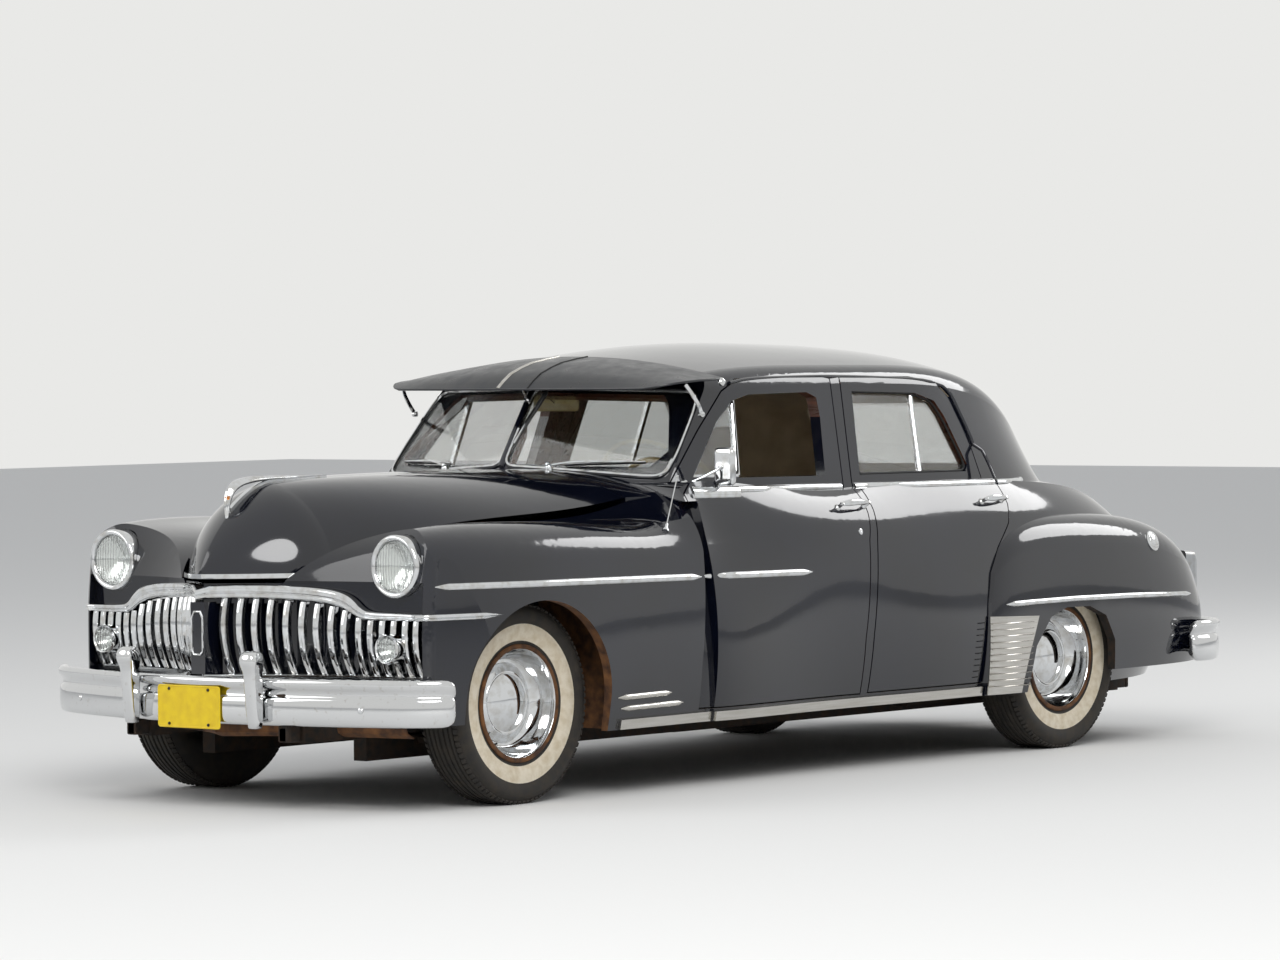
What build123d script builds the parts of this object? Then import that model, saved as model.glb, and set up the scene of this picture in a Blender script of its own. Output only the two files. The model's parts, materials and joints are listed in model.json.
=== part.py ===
"""Four-door family saloon of about 1950, body on frame, left-hand drive.

Millimetres. +X is forward, +Y the driver's (left) side, +Z up. The origin lies on
the ground at the middle of the car's outer box.
"""
import math
import os
from collections import namedtuple

from build123d import *

os.makedirs("parts", exist_ok=True)

# Overall sizes and running gear
front_axle_x = 1743
rear_axle_x = -1445
front_track = 1424
rear_track = 1514
tyre_radius = 355
tyre_width = 196
rim_radius = 209
bead_radius = 190
kingpin_y = 618
front_end_x = 2629
rear_end_x = -2629
roof_height = 1610

# Body shell
wall = 55
roof_wall = 40
floor_thickness = 45
seam = 6
sill_z = 240
floor_z = sill_z + floor_thickness
door_bottom_z = 292
front_seam_x = 866
firewall_x = 800
windshield_thickness = 6

# Front sheet metal
fender_wall = 40
hood_wall = 28
hood_rear_x = 986
hood_nose_x = 2186
lip_z = 808

# Lamps
headlamp_x = 2287
headlamp_y = 689
headlamp_z = 854
headlamp_radius = 110
parking_lamp_x = 2332
parking_lamp_y = 690
parking_lamp_z = 571
parking_lamp_radius = 52

# Frame
rail_inner_y = 340
rail_outer_y = 400
rail_low_z = 160
horn_low_z = 242
horn_high_z = 328

# Steering
steering_centre = (395, 370, 985)
steering_tilt = 28
steering_radius = 222

# Gap between pieces that rest on each other
contact_gap = 0.3


def mirrored(piece):
    """The same piece on the other side of the car."""
    return mirror(piece, about=Plane.XZ)


def both_sides(piece):
    """A left piece and its mirrored twin as solids of one part."""
    return Compound(children=list(piece.solids()) + list(mirrored(piece).solids()))


def block(x0, x1, y0, y1, z0, z1):
    """A plain box between two corners."""
    with BuildPart() as box:
        with Locations(((x0 + x1) / 2, (y0 + y1) / 2, (z0 + z1) / 2)):
            Box(x1 - x0, y1 - y0, z1 - z0)
    return box.part


def rod(start, end, radius):
    """A round bar between two points."""
    way = Vector(*end) - Vector(*start)
    with BuildPart() as bar:
        with BuildSketch(Plane(origin=start, z_dir=way)):
            Circle(radius)
        extrude(amount=way.length)
    return bar.part


def turned(points, centre):
    """A solid of revolution about an axis along Y; points are (radius, y) from the centre."""
    with BuildPart() as round_part:
        with BuildSketch(Plane(origin=centre, x_dir=(0, 1, 0), z_dir=(1, 0, 0))):
            with BuildLine():
                Polyline([(y, r) for r, y in points], close=True)
            make_face()
        revolve(axis=Axis(centre, (0, 1, 0)))
    return round_part.part


# Lower body: sections across the car, from the front door seam to the tail
TubSection = namedtuple("TubSection", "x low wide shoulder belt belt_z crown_z wide_z shoulder_z")
tub_table = [
    TubSection(front_seam_x + 4, 872, 911, 891, 800, 1085, 1120, 600, 880),
    TubSection(300, 874, 914, 893, 805, 1072, 1110, 600, 880),
    TubSection(-400, 872, 912, 892, 806, 1064, 1110, 600, 875),
    TubSection(-1100, 858, 893, 874, 790, 1064, 1110, 600, 870),
    TubSection(-1700, 790, 825, 800, 700, 1020, 1082, 590, 850),
    TubSection(-2150, 690, 735, 700, 580, 885, 985, 570, 760),
    TubSection(-2420, 560, 620, 590, 440, 700, 800, 540, 630),
    TubSection(-2500, 480, 540, 505, 340, 610, 660, 500, 560),
]


def tub_hull(inset, floor):
    """The lower body as one closed form, its skin moved inwards by inset."""
    with BuildPart() as hull:
        for s in tub_table:
            low = (s.low - inset, floor)
            wide = (s.wide - inset, s.wide_z)
            shoulder = (s.shoulder - inset, s.shoulder_z)
            belt = (s.belt - inset, s.belt_z - inset / 2)
            with BuildSketch(Plane.YZ.offset(s.x)):
                with BuildLine():
                    side = ThreePointArc(low, wide, shoulder)
                    TangentArc(shoulder, belt, tangent=side % 1)
                    ThreePointArc(belt, (0, s.crown_z - inset), (-belt[0], belt[1]))
                    other = ThreePointArc((-low[0], low[1]), (-wide[0], wide[1]), (-shoulder[0], shoulder[1]))
                    TangentArc((-shoulder[0], shoulder[1]), (-belt[0], belt[1]), tangent=other % 1)
                    Line(low, (-low[0], low[1]))
                make_face()
        loft()
    return hull.part


# Greenhouse: arches across the car, from the windshield to the back window
Arch = namedtuple("Arch", "x foot eave_y eave_z crown_z corner")
arch_table = [
    Arch(960, 740, 560, 1440, 1500, 90),
    Arch(500, 778, 640, 1490, 1560, 95),
    Arch(0, 795, 655, 1510, roof_height, 100),
    Arch(-600, 795, 655, 1505, 1604, 100),
    Arch(-1050, 780, 640, 1470, 1570, 105),
    Arch(-1350, 750, 590, 1380, 1490, 110),
    Arch(-1600, 690, 500, 1230, 1330, 110),
    Arch(-1800, 600, 420, 1050, 1120, 60),
]
arch_foot_z = 940


def greenhouse_hull(inset):
    """The cabin above the belt as one closed form, moved inwards by inset."""
    with BuildPart() as hull:
        for a in arch_table:
            foot = (a.foot - inset, arch_foot_z)
            eave = (a.eave_y - inset, a.eave_z - inset)
            with BuildSketch(Plane.YZ.offset(a.x)):
                with BuildLine():
                    Line((-foot[0], arch_foot_z), foot)
                    Line(foot, eave)
                    ThreePointArc(eave, (0, a.crown_z - inset), (-eave[0], eave[1]))
                    Line((-eave[0], eave[1]), (-foot[0], arch_foot_z))
                face = make_face()
                fillet(face.vertices().sort_by(Axis.Y)[-2:], radius=a.corner)
        loft()
    return hull.part


# Half width of the body's skin at the doors: height and half width
skin_levels = [(240, 873), (600, 912), (880, 892), (1066, 806), (1085, 782), (1480, 660), (1700, 600)]


def skin_half(z):
    """Half width of the body's skin at the doors at height z."""
    for (z0, y0), (z1, y1) in zip(skin_levels, skin_levels[1:]):
        if z <= z1:
            return y0 + (y1 - y0) * (z - z0) / (z1 - z0)
    return skin_levels[-1][1]


def side_prism(points, near_y=1000, far_y=400):
    """A side-view outline of (x, z, lean) corners drawn across the car from near_y to far_y.

    Each corner slides forward by lean for every millimetre that it lies inside the skin,
    so that a door's shut face leans clear of its own swing.
    """
    faces = []
    for y in (near_y, far_y):
        with BuildSketch(Plane.XZ.offset(-y)) as outline:
            with BuildLine():
                Polyline([(x + lean * (skin_half(z) - y), z) for x, z, lean in points], close=True)
            make_face()
        faces.append(outline.sketch)
    with BuildPart() as prism:
        loft(faces, ruled=True)
    return prism.part


def grown(points, amount):
    """The outline moved outwards by amount, corner by corner."""
    middle_x = sum(p[0] for p in points) / len(points)
    middle_z = sum(p[1] for p in points) / len(points)
    out = []
    count = len(points)
    for i in range(count):
        (ax, az, _), (bx, bz, lean), (cx, cz, _) = points[i - 1], points[i], points[(i + 1) % count]
        first = Vector(bz - az, ax - bx).normalized()
        second = Vector(cz - bz, bx - cx).normalized()
        turn = (first + second).normalized()
        reach = amount / max(0.4, turn.dot(first))
        if (bx - middle_x) * turn.X + (bz - middle_z) * turn.Y < 0:
            reach = -reach
        out.append((bx + turn.X * reach, bz + turn.Y * reach, lean))
    return out


# Door outlines in side view: x, z and lean of each corner, front edge first
front_door_lean = 0.36
rear_door_lean = 0.46
front_door_outline = [
    (863, door_bottom_z, 0), (866, 450, 0), (851, 700, 0), (840, 860, 0), (856, 1066, 0),
    (800, 1108, 0), (610, 1290, 0), (445, 1432, 0), (350, 1474, 0), (150, 1480, 0), (-196, 1478, front_door_lean),
    (-155, 1090, front_door_lean), (-150, 970, front_door_lean), (-130, 870, front_door_lean),
    (-117, 700, front_door_lean), (-97, 500, front_door_lean), (-94, door_bottom_z, front_door_lean),
]
rear_door_outline = [
    (-144, door_bottom_z + 2, 0), (-153, 510, 0), (-172, 711, 0), (-186, 862, 0), (-204, 975, 0), (-206, 1085, 0),
    (-263, 1476, 0), (-700, 1470, 0), (-870, 1448, rear_door_lean), (-945, 1390, rear_door_lean),
    (-1022, 1248, rear_door_lean), (-1066, 1080, rear_door_lean), (-1082, 975, rear_door_lean),
    (-1058, 904, rear_door_lean), (-960, 812, rear_door_lean), (-893, 720, rear_door_lean),
    (-868, 600, rear_door_lean), (-862, 450, rear_door_lean), (-858, door_bottom_z + 2, rear_door_lean),
]

# Window openings in side view: x, z and lean of each corner
front_window = [
    (690, 1118, 0), (505, 1322, 0), (400, 1398, 0), (300, 1420, 0), (-40, 1424, 0), (-92, 1404, 0),
    (-92, 1330, 0), (-52, 1110, 0),
]
vent_window = [(690, 1118, 0), (505, 1322, 0), (400, 1398, 0), (375, 1403.5, 0), (430, 1115.2, 0)]
rear_window = [
    (-262, 1108, 0), (-318, 1424, 0), (-713, 1412, 0), (-832, 1380, 0), (-880, 1320, 0), (-968, 1130, 0),
    (-950, 1104, 0),
]
back_window_size = (900, 250, 90)
back_window_z = 1235
boot_lid_size = (900, 700, 90)
boot_lid_z = 850
boot_seam_x = -1835


def windshield_plane():
    """The left pane's plane: local x runs along the pane's foot, the normal points outwards."""
    foot_centre = Vector(942, 0, 1150)
    foot_side = Vector(792, 686, 1133)
    top_centre = Vector(700, 0, 1430)
    across = (foot_side - foot_centre).normalized()
    normal = across.cross(top_centre - foot_centre).normalized()
    if normal.X < 0:
        normal = normal * -1
    return Plane(origin=foot_centre, x_dir=across, z_dir=normal)


pane_plane = windshield_plane()


def in_front_of(plane, offset):
    """A large block in front of a pane plane, on the left half of the car."""
    with BuildPart() as space:
        with BuildSketch(plane.offset(offset)):
            Rectangle(4000, 4000)
        extrude(amount=1500)
    return space.part & block(-3000, 3000, 0, 2000, 0, 3000)


def pane_prism(back, front):
    """The left pane's outline drawn through the screen from back to front of its plane."""
    with BuildPart() as prism:
        with BuildSketch(pane_plane.offset(-back)):
            with BuildLine():
                Polyline((30, 30), (637, 30), (678, 74), (594, 330), (560, 372), (30, 372), close=True)
            make_face()
        extrude(amount=back + front)
    return prism.part


def across_car(size, z, x0, x1):
    """A rounded rectangle centred at height z, drawn from x0 back to x1."""
    with BuildPart() as prism:
        with BuildSketch(Plane.YZ.offset(x0)):
            with Locations((0, z)):
                RectangleRounded(*size)
        extrude(amount=x1 - x0)
    return prism.part


def wheel_space(x, z, radius, near_y, far_y):
    """A drum-shaped space for a wheel, open downwards."""
    with BuildPart() as space:
        with BuildSketch(Plane.XZ.offset(-near_y)):
            with Locations((x, z)):
                Circle(radius)
            with Locations((x, z - radius)):
                Rectangle(2 * radius, 2 * radius)
        extrude(amount=near_y - far_y)
    return space.part


# Front sheet metal: sections across the car, from the door seam to beyond the nose
FenderSection = namedtuple("FenderSection", "x low wide wide_z shoulder shoulder_z crown crown_z edge edge_z")
fender_table = [
    FenderSection(800, 872, 911, 600, 892, 880, 838, 1003, 770, 1085),
    FenderSection(1094, 880, 918, 600, 898, 852, 785, 966, 560, 1040),
    FenderSection(1388, 890, 925, 615, 902, 858, 725, 976, 480, 1010),
    FenderSection(1682, 897, 928, 630, 902, 860, 705, 988, 410, 994),
    FenderSection(1976, 882, 908, 640, 886, 858, 695, 992, 330, 950),
    FenderSection(2270, 815, 842, 640, 832, 848, 688, 974, 250, 830),
    FenderSection(2564, 720, 745, 640, 735, 820, 640, 900, 170, 680),
]


def fender_barrel(inset, floor, inner):
    """The left front fender drawn long past its nose, its skin moved inwards by inset."""
    with BuildPart() as hull:
        for s in fender_table:
            low = (s.low - inset, floor)
            wide = (s.wide - inset, s.wide_z)
            shoulder = (s.shoulder - inset, s.shoulder_z)
            crown = (s.crown, s.crown_z - inset)
            edge = (s.edge - inner, s.edge_z - inset)
            with BuildSketch(Plane.YZ.offset(s.x)):
                with BuildLine():
                    side = ThreePointArc(low, wide, shoulder)
                    top = TangentArc(shoulder, crown, tangent=side % 1)
                    TangentArc(crown, edge, tangent=top % 1)
                    Line(edge, (edge[0], floor))
                    Line((edge[0], floor), low)
                make_face()
        loft()
    return hull.part


# Plan outlines of the nose at even heights: front x at the centre, beside the hood and at the
# lamp, and x where the corner's curve meets the side
NosePlan = namedtuple("NosePlan", "z centre inner lamp side side_y")
nose_plan_table = [
    NosePlan(140, 2540, 2345, 2280, 2240, 842),
    NosePlan(260, 2540, 2345, 2280, 2240, 842),
    NosePlan(380, 2540, 2345, 2280, 2240, 842),
    NosePlan(500, 2540, 2345, 2280, 2240, 842),
    NosePlan(620, 2540, 2345, 2280, 2240, 842),
    NosePlan(740, 2528, 2338, 2275, 2235, 842),
    NosePlan(860, 2430, 2296, 2260, 2216, 840),
    NosePlan(980, 2190, 2165, 2222, 2176, 838),
    NosePlan(1100, 1900, 1960, 2120, 2080, 838),
]
nose_rear_x = 700
nose_rear_y = 1270


def nose_plan_hull(inset):
    """The plan outline of the front as a tall form whose face leans back at the top."""
    with BuildPart() as hull:
        for s in nose_plan_table:
            centre = (s.centre - inset, 0)
            lamp_point = (s.lamp - inset, 800 - inset)
            side_point = (s.side - inset, s.side_y - inset)
            with BuildSketch(Plane.XY.offset(s.z)):
                with BuildLine():
                    front = ThreePointArc(centre, (s.inner - inset, 380), lamp_point)
                    TangentArc(lamp_point, side_point, tangent=front % 1)
                    Line(side_point, (nose_rear_x, nose_rear_y))
                    Line((nose_rear_x, nose_rear_y), (nose_rear_x, 0))
                    Line((nose_rear_x, 0), centre)
                make_face()
        loft()
    return hull.part


# Hood: arches across the car, evenly spaced back to the cowl and more closely over the prow
HoodArch = namedtuple("HoodArch", "x half edge_z crown_z")
hood_table = [
    HoodArch(hood_rear_x, 640, 1056, 1152),
    HoodArch(1286, 560, 1015, 1150),
    HoodArch(1586, 488, 995, 1149),
    HoodArch(1886, 412, 950, 1147),
    HoodArch(hood_nose_x, 322, lip_z, 1137),
]
prow_table = [
    HoodArch(hood_nose_x, 322, lip_z, 1137),
    HoodArch(2272, 291, lip_z, 1108),
    HoodArch(2358, 228, lip_z, 1052),
    HoodArch(2444, 138, lip_z, 970),
    HoodArch(2530, 14, lip_z, 838),
]


def half_arch(half, foot, crown):
    """Foot, flank and crown points of one side of a hood arch."""
    return (half, foot), (0.66 * half, foot + 0.70 * (crown - foot)), (0, crown)


def hood_hull(inset, drop):
    """The hood as one closed form: its arches back to the cowl and its prow."""
    forms = []
    for table in (hood_table, prow_table):
        with BuildPart() as hull:
            for a in table:
                shrink = min(1, (a.half - 4) / (inset + 1)) if inset > 0 else 1
                x = a.x - inset * (a.x - hood_nose_x) / 172 if a.x > hood_nose_x else a.x
                foot, flank, crown = half_arch(a.half - inset * shrink, a.edge_z - drop, a.crown_z - inset)
                with BuildSketch(Plane.YZ.offset(x)):
                    with BuildLine():
                        ThreePointArc(foot, flank, crown)
                        ThreePointArc(crown, (-flank[0], flank[1]), (-foot[0], foot[1]))
                        Line((-foot[0], foot[1]), foot)
                    make_face()
            loft()
        forms.append(hull.part)
    return forms[0] + forms[1]


def hood_plan(margin):
    """The hood's outline from above, grown by margin, as a tall prism."""
    flank = (hood_table[2].x, hood_table[2].half)
    front = (hood_nose_x, hood_table[-1].half)
    prow = (prow_table[2].x, prow_table[2].half)
    tip = (prow_table[-1].x, prow_table[-1].half)
    with BuildPart() as prism:
        with BuildSketch(Plane.XY.offset(700)):
            with BuildLine():
                ThreePointArc((hood_rear_x, hood_table[0].half), flank, front)
                ThreePointArc(front, prow, tip)
                Line(tip, (tip[0], -tip[1]))
                ThreePointArc((tip[0], -tip[1]), (prow[0], -prow[1]), (front[0], -front[1]))
                ThreePointArc((front[0], -front[1]), (flank[0], -flank[1]), (hood_rear_x, -hood_table[0].half))
                Line((hood_rear_x, -hood_table[0].half), (hood_rear_x, hood_table[0].half))
            make_face()
            if margin:
                offset(amount=margin, kind=Kind.INTERSECTION)
        extrude(amount=600)
    return prism.part


# Rear fenders: sections across the car, from the rear door's shut line to the tail
PontoonSection = namedtuple("PontoonSection", "x low wide wide_z shoulder shoulder_z crown crown_z")
pontoon_table = [
    PontoonSection(-862, 890, 912, 520, 905, 640, 880, 700),
    PontoonSection(-960, 905, 934, 560, 925, 740, 860, 825),
    PontoonSection(-1150, 908, 940, 580, 928, 800, 845, 900),
    PontoonSection(-1450, 908, 940, 580, 928, 810, 830, 922),
    PontoonSection(-1850, 900, 934, 580, 918, 790, 800, 905),
    PontoonSection(-2150, 870, 912, 560, 890, 740, 765, 850),
    PontoonSection(-2330, 820, 875, 540, 845, 680, 730, 770),
    PontoonSection(-2440, 760, 820, 520, 790, 610, 700, 670),
]


def pontoon_hull(inset, floor):
    """The left rear fender as one closed form, its skin moved inwards by inset."""
    with BuildPart() as hull:
        for s in pontoon_table:
            low = (s.low - inset, floor)
            wide = (s.wide - inset, s.wide_z)
            shoulder = (s.shoulder - inset, s.shoulder_z)
            crown = (s.crown, s.crown_z - inset)
            inner = (400, s.crown_z - inset - 60)
            with BuildSketch(Plane.YZ.offset(s.x)):
                with BuildLine():
                    side = ThreePointArc(low, wide, shoulder)
                    TangentArc(shoulder, crown, tangent=side % 1)
                    Polyline(crown, inner, (400, floor), low)
                make_face()
        loft()
    return hull.part


# The front's plan curve, which the grille, its header and its teeth follow: a prow at the centre
# that flares out to the fenders. Setback from the prow and half width of its five points.
front_points = [(0, 0), (120, 180), (190, 360), (235, 580), (272, 814)]
front_half_width = 814


def front_curve_x(front_x, y):
    """X of the front's plan curve at half width y, on the arc through the three points around it."""
    points = front_points[:3] if y <= front_points[2][1] else front_points[2:]
    (d0, y0), (d1, y1), (d2, y2) = points
    share0 = (y - y1) * (y - y2) / ((y0 - y1) * (y0 - y2))
    share1 = (y - y0) * (y - y2) / ((y1 - y0) * (y1 - y2))
    share2 = (y - y0) * (y - y1) / ((y2 - y0) * (y2 - y1))
    return front_x - (d0 * share0 + d1 * share1 + d2 * share2)


def front_band(front_x, thickness):
    """A tall wall standing on the front's plan curve."""
    with BuildPart() as band:
        with BuildSketch(Plane.XY.offset(100)):
            with BuildLine():
                ends = []
                for x in (front_x, front_x - thickness):
                    right = [(x - d, -y) for d, y in front_points[::-1]]
                    left = [(x - d, y) for d, y in front_points]
                    ThreePointArc(*right[:3])
                    ThreePointArc(*right[2:])
                    ThreePointArc(*left[:3])
                    ThreePointArc(*left[2:])
                    ends.append((right[0], left[-1]))
                Line(ends[0][0], ends[1][0])
                Line(ends[0][1], ends[1][1])
            make_face()
        extrude(amount=900)
    return band.part


def front_view_wall(points, front_x, thickness):
    """A front-view outline of (y, z) corners cut to a wall standing on the front's plan curve."""
    with BuildPart() as drawn:
        with BuildSketch(Plane.YZ.offset(1900)):
            with BuildLine():
                Polyline(points, close=True)
            make_face()
        extrude(amount=900)
    return drawn.part & front_band(front_x, thickness)


def both_ways(points):
    """A half outline from the centre outwards and back, completed on the other side."""
    return points + [(-y, z) for y, z in reversed(points) if y]


def build_shell():
    """Welded body with its cowl, before anything is cut out of it."""
    tub_outer = tub_hull(0, sill_z)
    tub_inner = tub_hull(wall, floor_z) & block(-2430, firewall_x, -1000, 1000, 0, 2000)
    front = in_front_of(pane_plane, 0)
    inner_front = in_front_of(pane_plane, -roof_wall)
    green_outer = greenhouse_hull(0) - front - mirrored(front)
    green_inner = greenhouse_hull(roof_wall) - inner_front - mirrored(inner_front)
    cowl_rear = HoodArch(firewall_x, 760, 1062, 1148)
    cowl_front = hood_table[0]._replace(x=hood_rear_x - seam)
    with BuildPart() as cowl:
        for a in (cowl_rear, cowl_front):
            foot, flank, crown = half_arch(a.half, a.edge_z, a.crown_z)
            with BuildSketch(Plane.YZ.offset(a.x)):
                with BuildLine():
                    ThreePointArc(foot, flank, crown)
                    ThreePointArc(crown, (-flank[0], flank[1]), (-foot[0], foot[1]))
                    Polyline((-foot[0], foot[1]), (-foot[0], 960), (foot[0], 960), foot)
                make_face()
        loft(ruled=True)
    shell = (tub_outer + green_outer + cowl.part) - tub_inner - green_inner
    # the skin in front of the door seam belongs to the fenders
    fender_zone = tub_outer - tub_hull(fender_wall + contact_gap, 0)
    shell = shell - (fender_zone & block(firewall_x, 1000, -1000, 1000, 0, 1040))
    # wheel houses and the tunnel over the rear axle
    axle_z = tyre_radius + 20
    houses = None
    spaces = None
    for near_y, far_y, radius, thick in ((610, 1000, 440, 30), (-620, 620, 190, 40)):
        space = wheel_space(rear_axle_x, axle_z, radius, near_y, far_y)
        house = wheel_space(rear_axle_x, axle_z, radius + thick, near_y - thick, far_y)
        houses = house if houses is None else houses + house
        spaces = space if spaces is None else spaces + space
    houses = (houses + mirrored(houses)) & tub_inner
    spaces = spaces + mirrored(spaces)
    return (shell + houses) - (spaces & block(-3000, 0, -1000, 1000, 0, 900))


def build_body_and_doors():
    """The body, its left doors and its boot lid, each cut out of the shell along its seams."""
    shell = build_shell()
    # the body's side wall: the doors take none of the bulkhead or the wheel houses behind it
    side_wall = block(-1500, 1000, 700, 1100, 200, 1115) + block(-1500, 1000, 400, 1100, 1115, 1700)
    front_door = (shell & side_prism(front_door_outline) & side_wall) - side_prism(front_window)
    rear_door = (shell & side_prism(rear_door_outline) & side_wall) - side_prism(rear_window)
    side_wall = block(-1500, 1000, 685, 1100, 200, 1115) + block(-1500, 1000, 400, 1100, 1115 - seam, 1700)
    for outline in (front_door_outline, rear_door_outline):
        hole = side_prism(grown(outline, seam)) & side_wall
        shell = shell - hole - mirrored(hole)
    screen = pane_prism(120, 60)
    shell = shell - screen - mirrored(screen)
    shell = shell - across_car(back_window_size, back_window_z, -1300, -2000)
    lid = shell & across_car(boot_lid_size, boot_lid_z, boot_seam_x, -2800)
    width, height, corner = boot_lid_size
    lid_hole = (width + 2 * seam, height + 2 * seam, corner + seam)
    shell = shell - across_car(lid_hole, boot_lid_z, boot_seam_x + seam, -2800)
    return shell, front_door, rear_door, lid


# Grille header in front view from the centre outwards: y, top z and bottom z
HeaderPoint = namedtuple("HeaderPoint", "y top bottom")
header_table = [
    HeaderPoint(0, 772, 736),
    HeaderPoint(60, 789, 742),
    HeaderPoint(200, 785, 738),
    HeaderPoint(370, 777, 727),
    HeaderPoint(460, 760, 714),
    HeaderPoint(520, 734, 698),
    HeaderPoint(562, 706, 676),
    HeaderPoint(600, 695, 667),
    HeaderPoint(814, 692, 667),
]
header_front_x = 2560
header_thickness = 46
grille_sill = (452, 476)
grille_sill_x = 2518
grille_sill_depth = 36
grille_back_x = 2472
tooth_front_x = 2546


def header_bottom(y):
    """Height of the header's lower edge at half width y."""
    for a, b in zip(header_table, header_table[1:]):
        if y <= b.y:
            return a.bottom + (b.bottom - a.bottom) * (y - a.y) / (b.y - a.y)
    return header_table[-1].bottom


def build_front_fender(shell):
    """Left front fender: a pressed skin open below, with its splash panel and inner panel."""
    space = fender_barrel(fender_wall, 180, 90) & nose_plan_hull(fender_wall)
    fender = (fender_barrel(0, sill_z, 0) & nose_plan_hull(0)) - space
    inside = fender_barrel(10, 200, 0) & nose_plan_hull(10)
    splash = block(1296, 1306, 300, 1000, sill_z + contact_gap, 1100)
    panel = block(1300, 2250, 400, 406, sill_z + contact_gap, 699) - block(1615, 1871, 390, 410, 200, 540)
    fender = fender + ((splash + panel) & inside)
    fender = fender - wheel_space(front_axle_x, tyre_radius, tyre_radius + 17, 420, 850)
    fender = fender - wheel_space(front_axle_x + 12, tyre_radius, tyre_radius + 11, 849, 1000)
    fender = fender - block(2000, 2700, 420, 1000, 0, 304)
    fender = fender - side_prism(grown(front_door_outline, seam))
    fender = fender - hood_plan(seam)
    fender = fender - block(700, hood_rear_x + 3, 0, 650, 0, 2000)
    with BuildPart() as opening:
        with BuildSketch(Plane.YZ.offset(2120)):
            with BuildLine():
                upper = [(p.y, (p.top + p.bottom) / 2) for p in header_table]
                Polyline([(0, 200)] + upper + [(front_half_width, 430), (front_half_width, 200)], close=True)
            make_face()
        extrude(amount=600)
    header_zone = front_view_wall([(-1000, 430), (1000, 430), (1000, 800), (-1000, 800)],
                                  header_front_x + 300, header_thickness + 300 + contact_gap)
    lip_zone = hood_plan(24) & block(2270, 2700, -400, 400, lip_z - 8, 1300)
    fender = fender - opening.part - header_zone - lip_zone
    lamp_seat = Pos(headlamp_x, headlamp_y, headlamp_z) * Cylinder(headlamp_radius + contact_gap, 160, rotation=(0, 90, 0))
    fender = fender - lamp_seat - shell
    return fender.solids().sort_by(SortBy.VOLUME)[-1]


def build_rear_fender():
    """Left rear fender: a pontoon skin that stands on the body's side, closed at the tail."""
    hollow = pontoon_hull(40, 200) & block(-2405, -900, 0, 1000, 0, 1000)
    skin = pontoon_hull(0, sill_z) - hollow - tub_hull(-contact_gap, sill_z)
    skin = skin - block(-2600, -1500, 0, 1000, 0, 300)
    opening = side_prism([(-1112, 200, 0), (-1150, 420, 0), (-1240, 530, 0), (-1345, 562, 0), (-1500, 560, 0),
                          (-1610, 520, 0), (-1680, 420, 0), (-1712, 200, 0)], 1100, 700)
    skin = skin - opening - side_prism(grown(rear_door_outline, seam))
    return skin.solids().sort_by(SortBy.VOLUME)[-1]


def build_hood():
    """Alligator hood: a domed pressing, hinged at the cowl."""
    return (hood_hull(0, 0) - hood_hull(hood_wall, 60)) & hood_plan(0)


def build_hood_trim():
    """Bright spear along the hood's crease and the lip round the foot of its nose."""
    over = hood_hull(-10, 0) - hood_hull(-contact_gap, 0)
    spear = over & block(1890, 2380, -9, 9, 1000, 1200)
    lip = over & block(2300, 2640, -320, 320, lip_z + 2, lip_z + 18)
    return list(spear.solids()) + list(lip.solids())


# Tyre section from the outer bead over the tread: half section points (y, radius)
def tyre_at(x, y):
    """A tyre with its middle plane at y, on an axle along Y."""
    half = tyre_width / 2
    bead = (66, bead_radius + contact_gap)
    flange = (69.5, rim_radius)
    shoulder = (80, 338)
    edge = (58, 353)
    with BuildPart() as tyre:
        with BuildSketch(Plane(origin=(x, y, tyre_radius), x_dir=(0, 1, 0), z_dir=(1, 0, 0))):
            with BuildLine():
                Line((-bead[0], bead[1]), bead)
                Line(bead, flange)
                ThreePointArc(flange, (half, 272), shoulder)
                ThreePointArc(shoulder, (72, 349), edge)
                ThreePointArc(edge, (0, tyre_radius), (-edge[0], edge[1]))
                ThreePointArc((-edge[0], edge[1]), (-72, 349), (-shoulder[0], shoulder[1]))
                ThreePointArc((-shoulder[0], shoulder[1]), (-half, 272), (-flange[0], flange[1]))
                Line((-flange[0], flange[1]), (-bead[0], bead[1]))
            make_face()
        revolve(axis=Axis((x, y, tyre_radius), (0, 1, 0)))
    return tyre.part


wheel_seat_depth = 24
wheel_profile = [
    (0, 32), (40, 31), (70, 26), (92, 16), (104, 11), (112, 17), (126, 11), (138, -4), (150, -12), (164, 2),
    (178, 26), (184, 48), (190, 70), (199, 78), (rim_radius, 76), (rim_radius, 70), (bead_radius, 66.5),
    (bead_radius, -66.5), (rim_radius, -70), (rim_radius, -75), (184, -72), (180, -40), (174, -8), (164, -26),
    (150, -30), (60, -26), (34, -wheel_seat_depth), (0, -wheel_seat_depth),
]


def wheel_at(x, y, side):
    """Steel wheel with its trim ring and domed hub cap, facing +Y for side 1 and -Y for side -1."""
    return turned([(r, side * t) for r, t in wheel_profile], (x, y, tyre_radius))


knuckle_post = 125
drum_radius = 118
arm_thickness = 22


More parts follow.
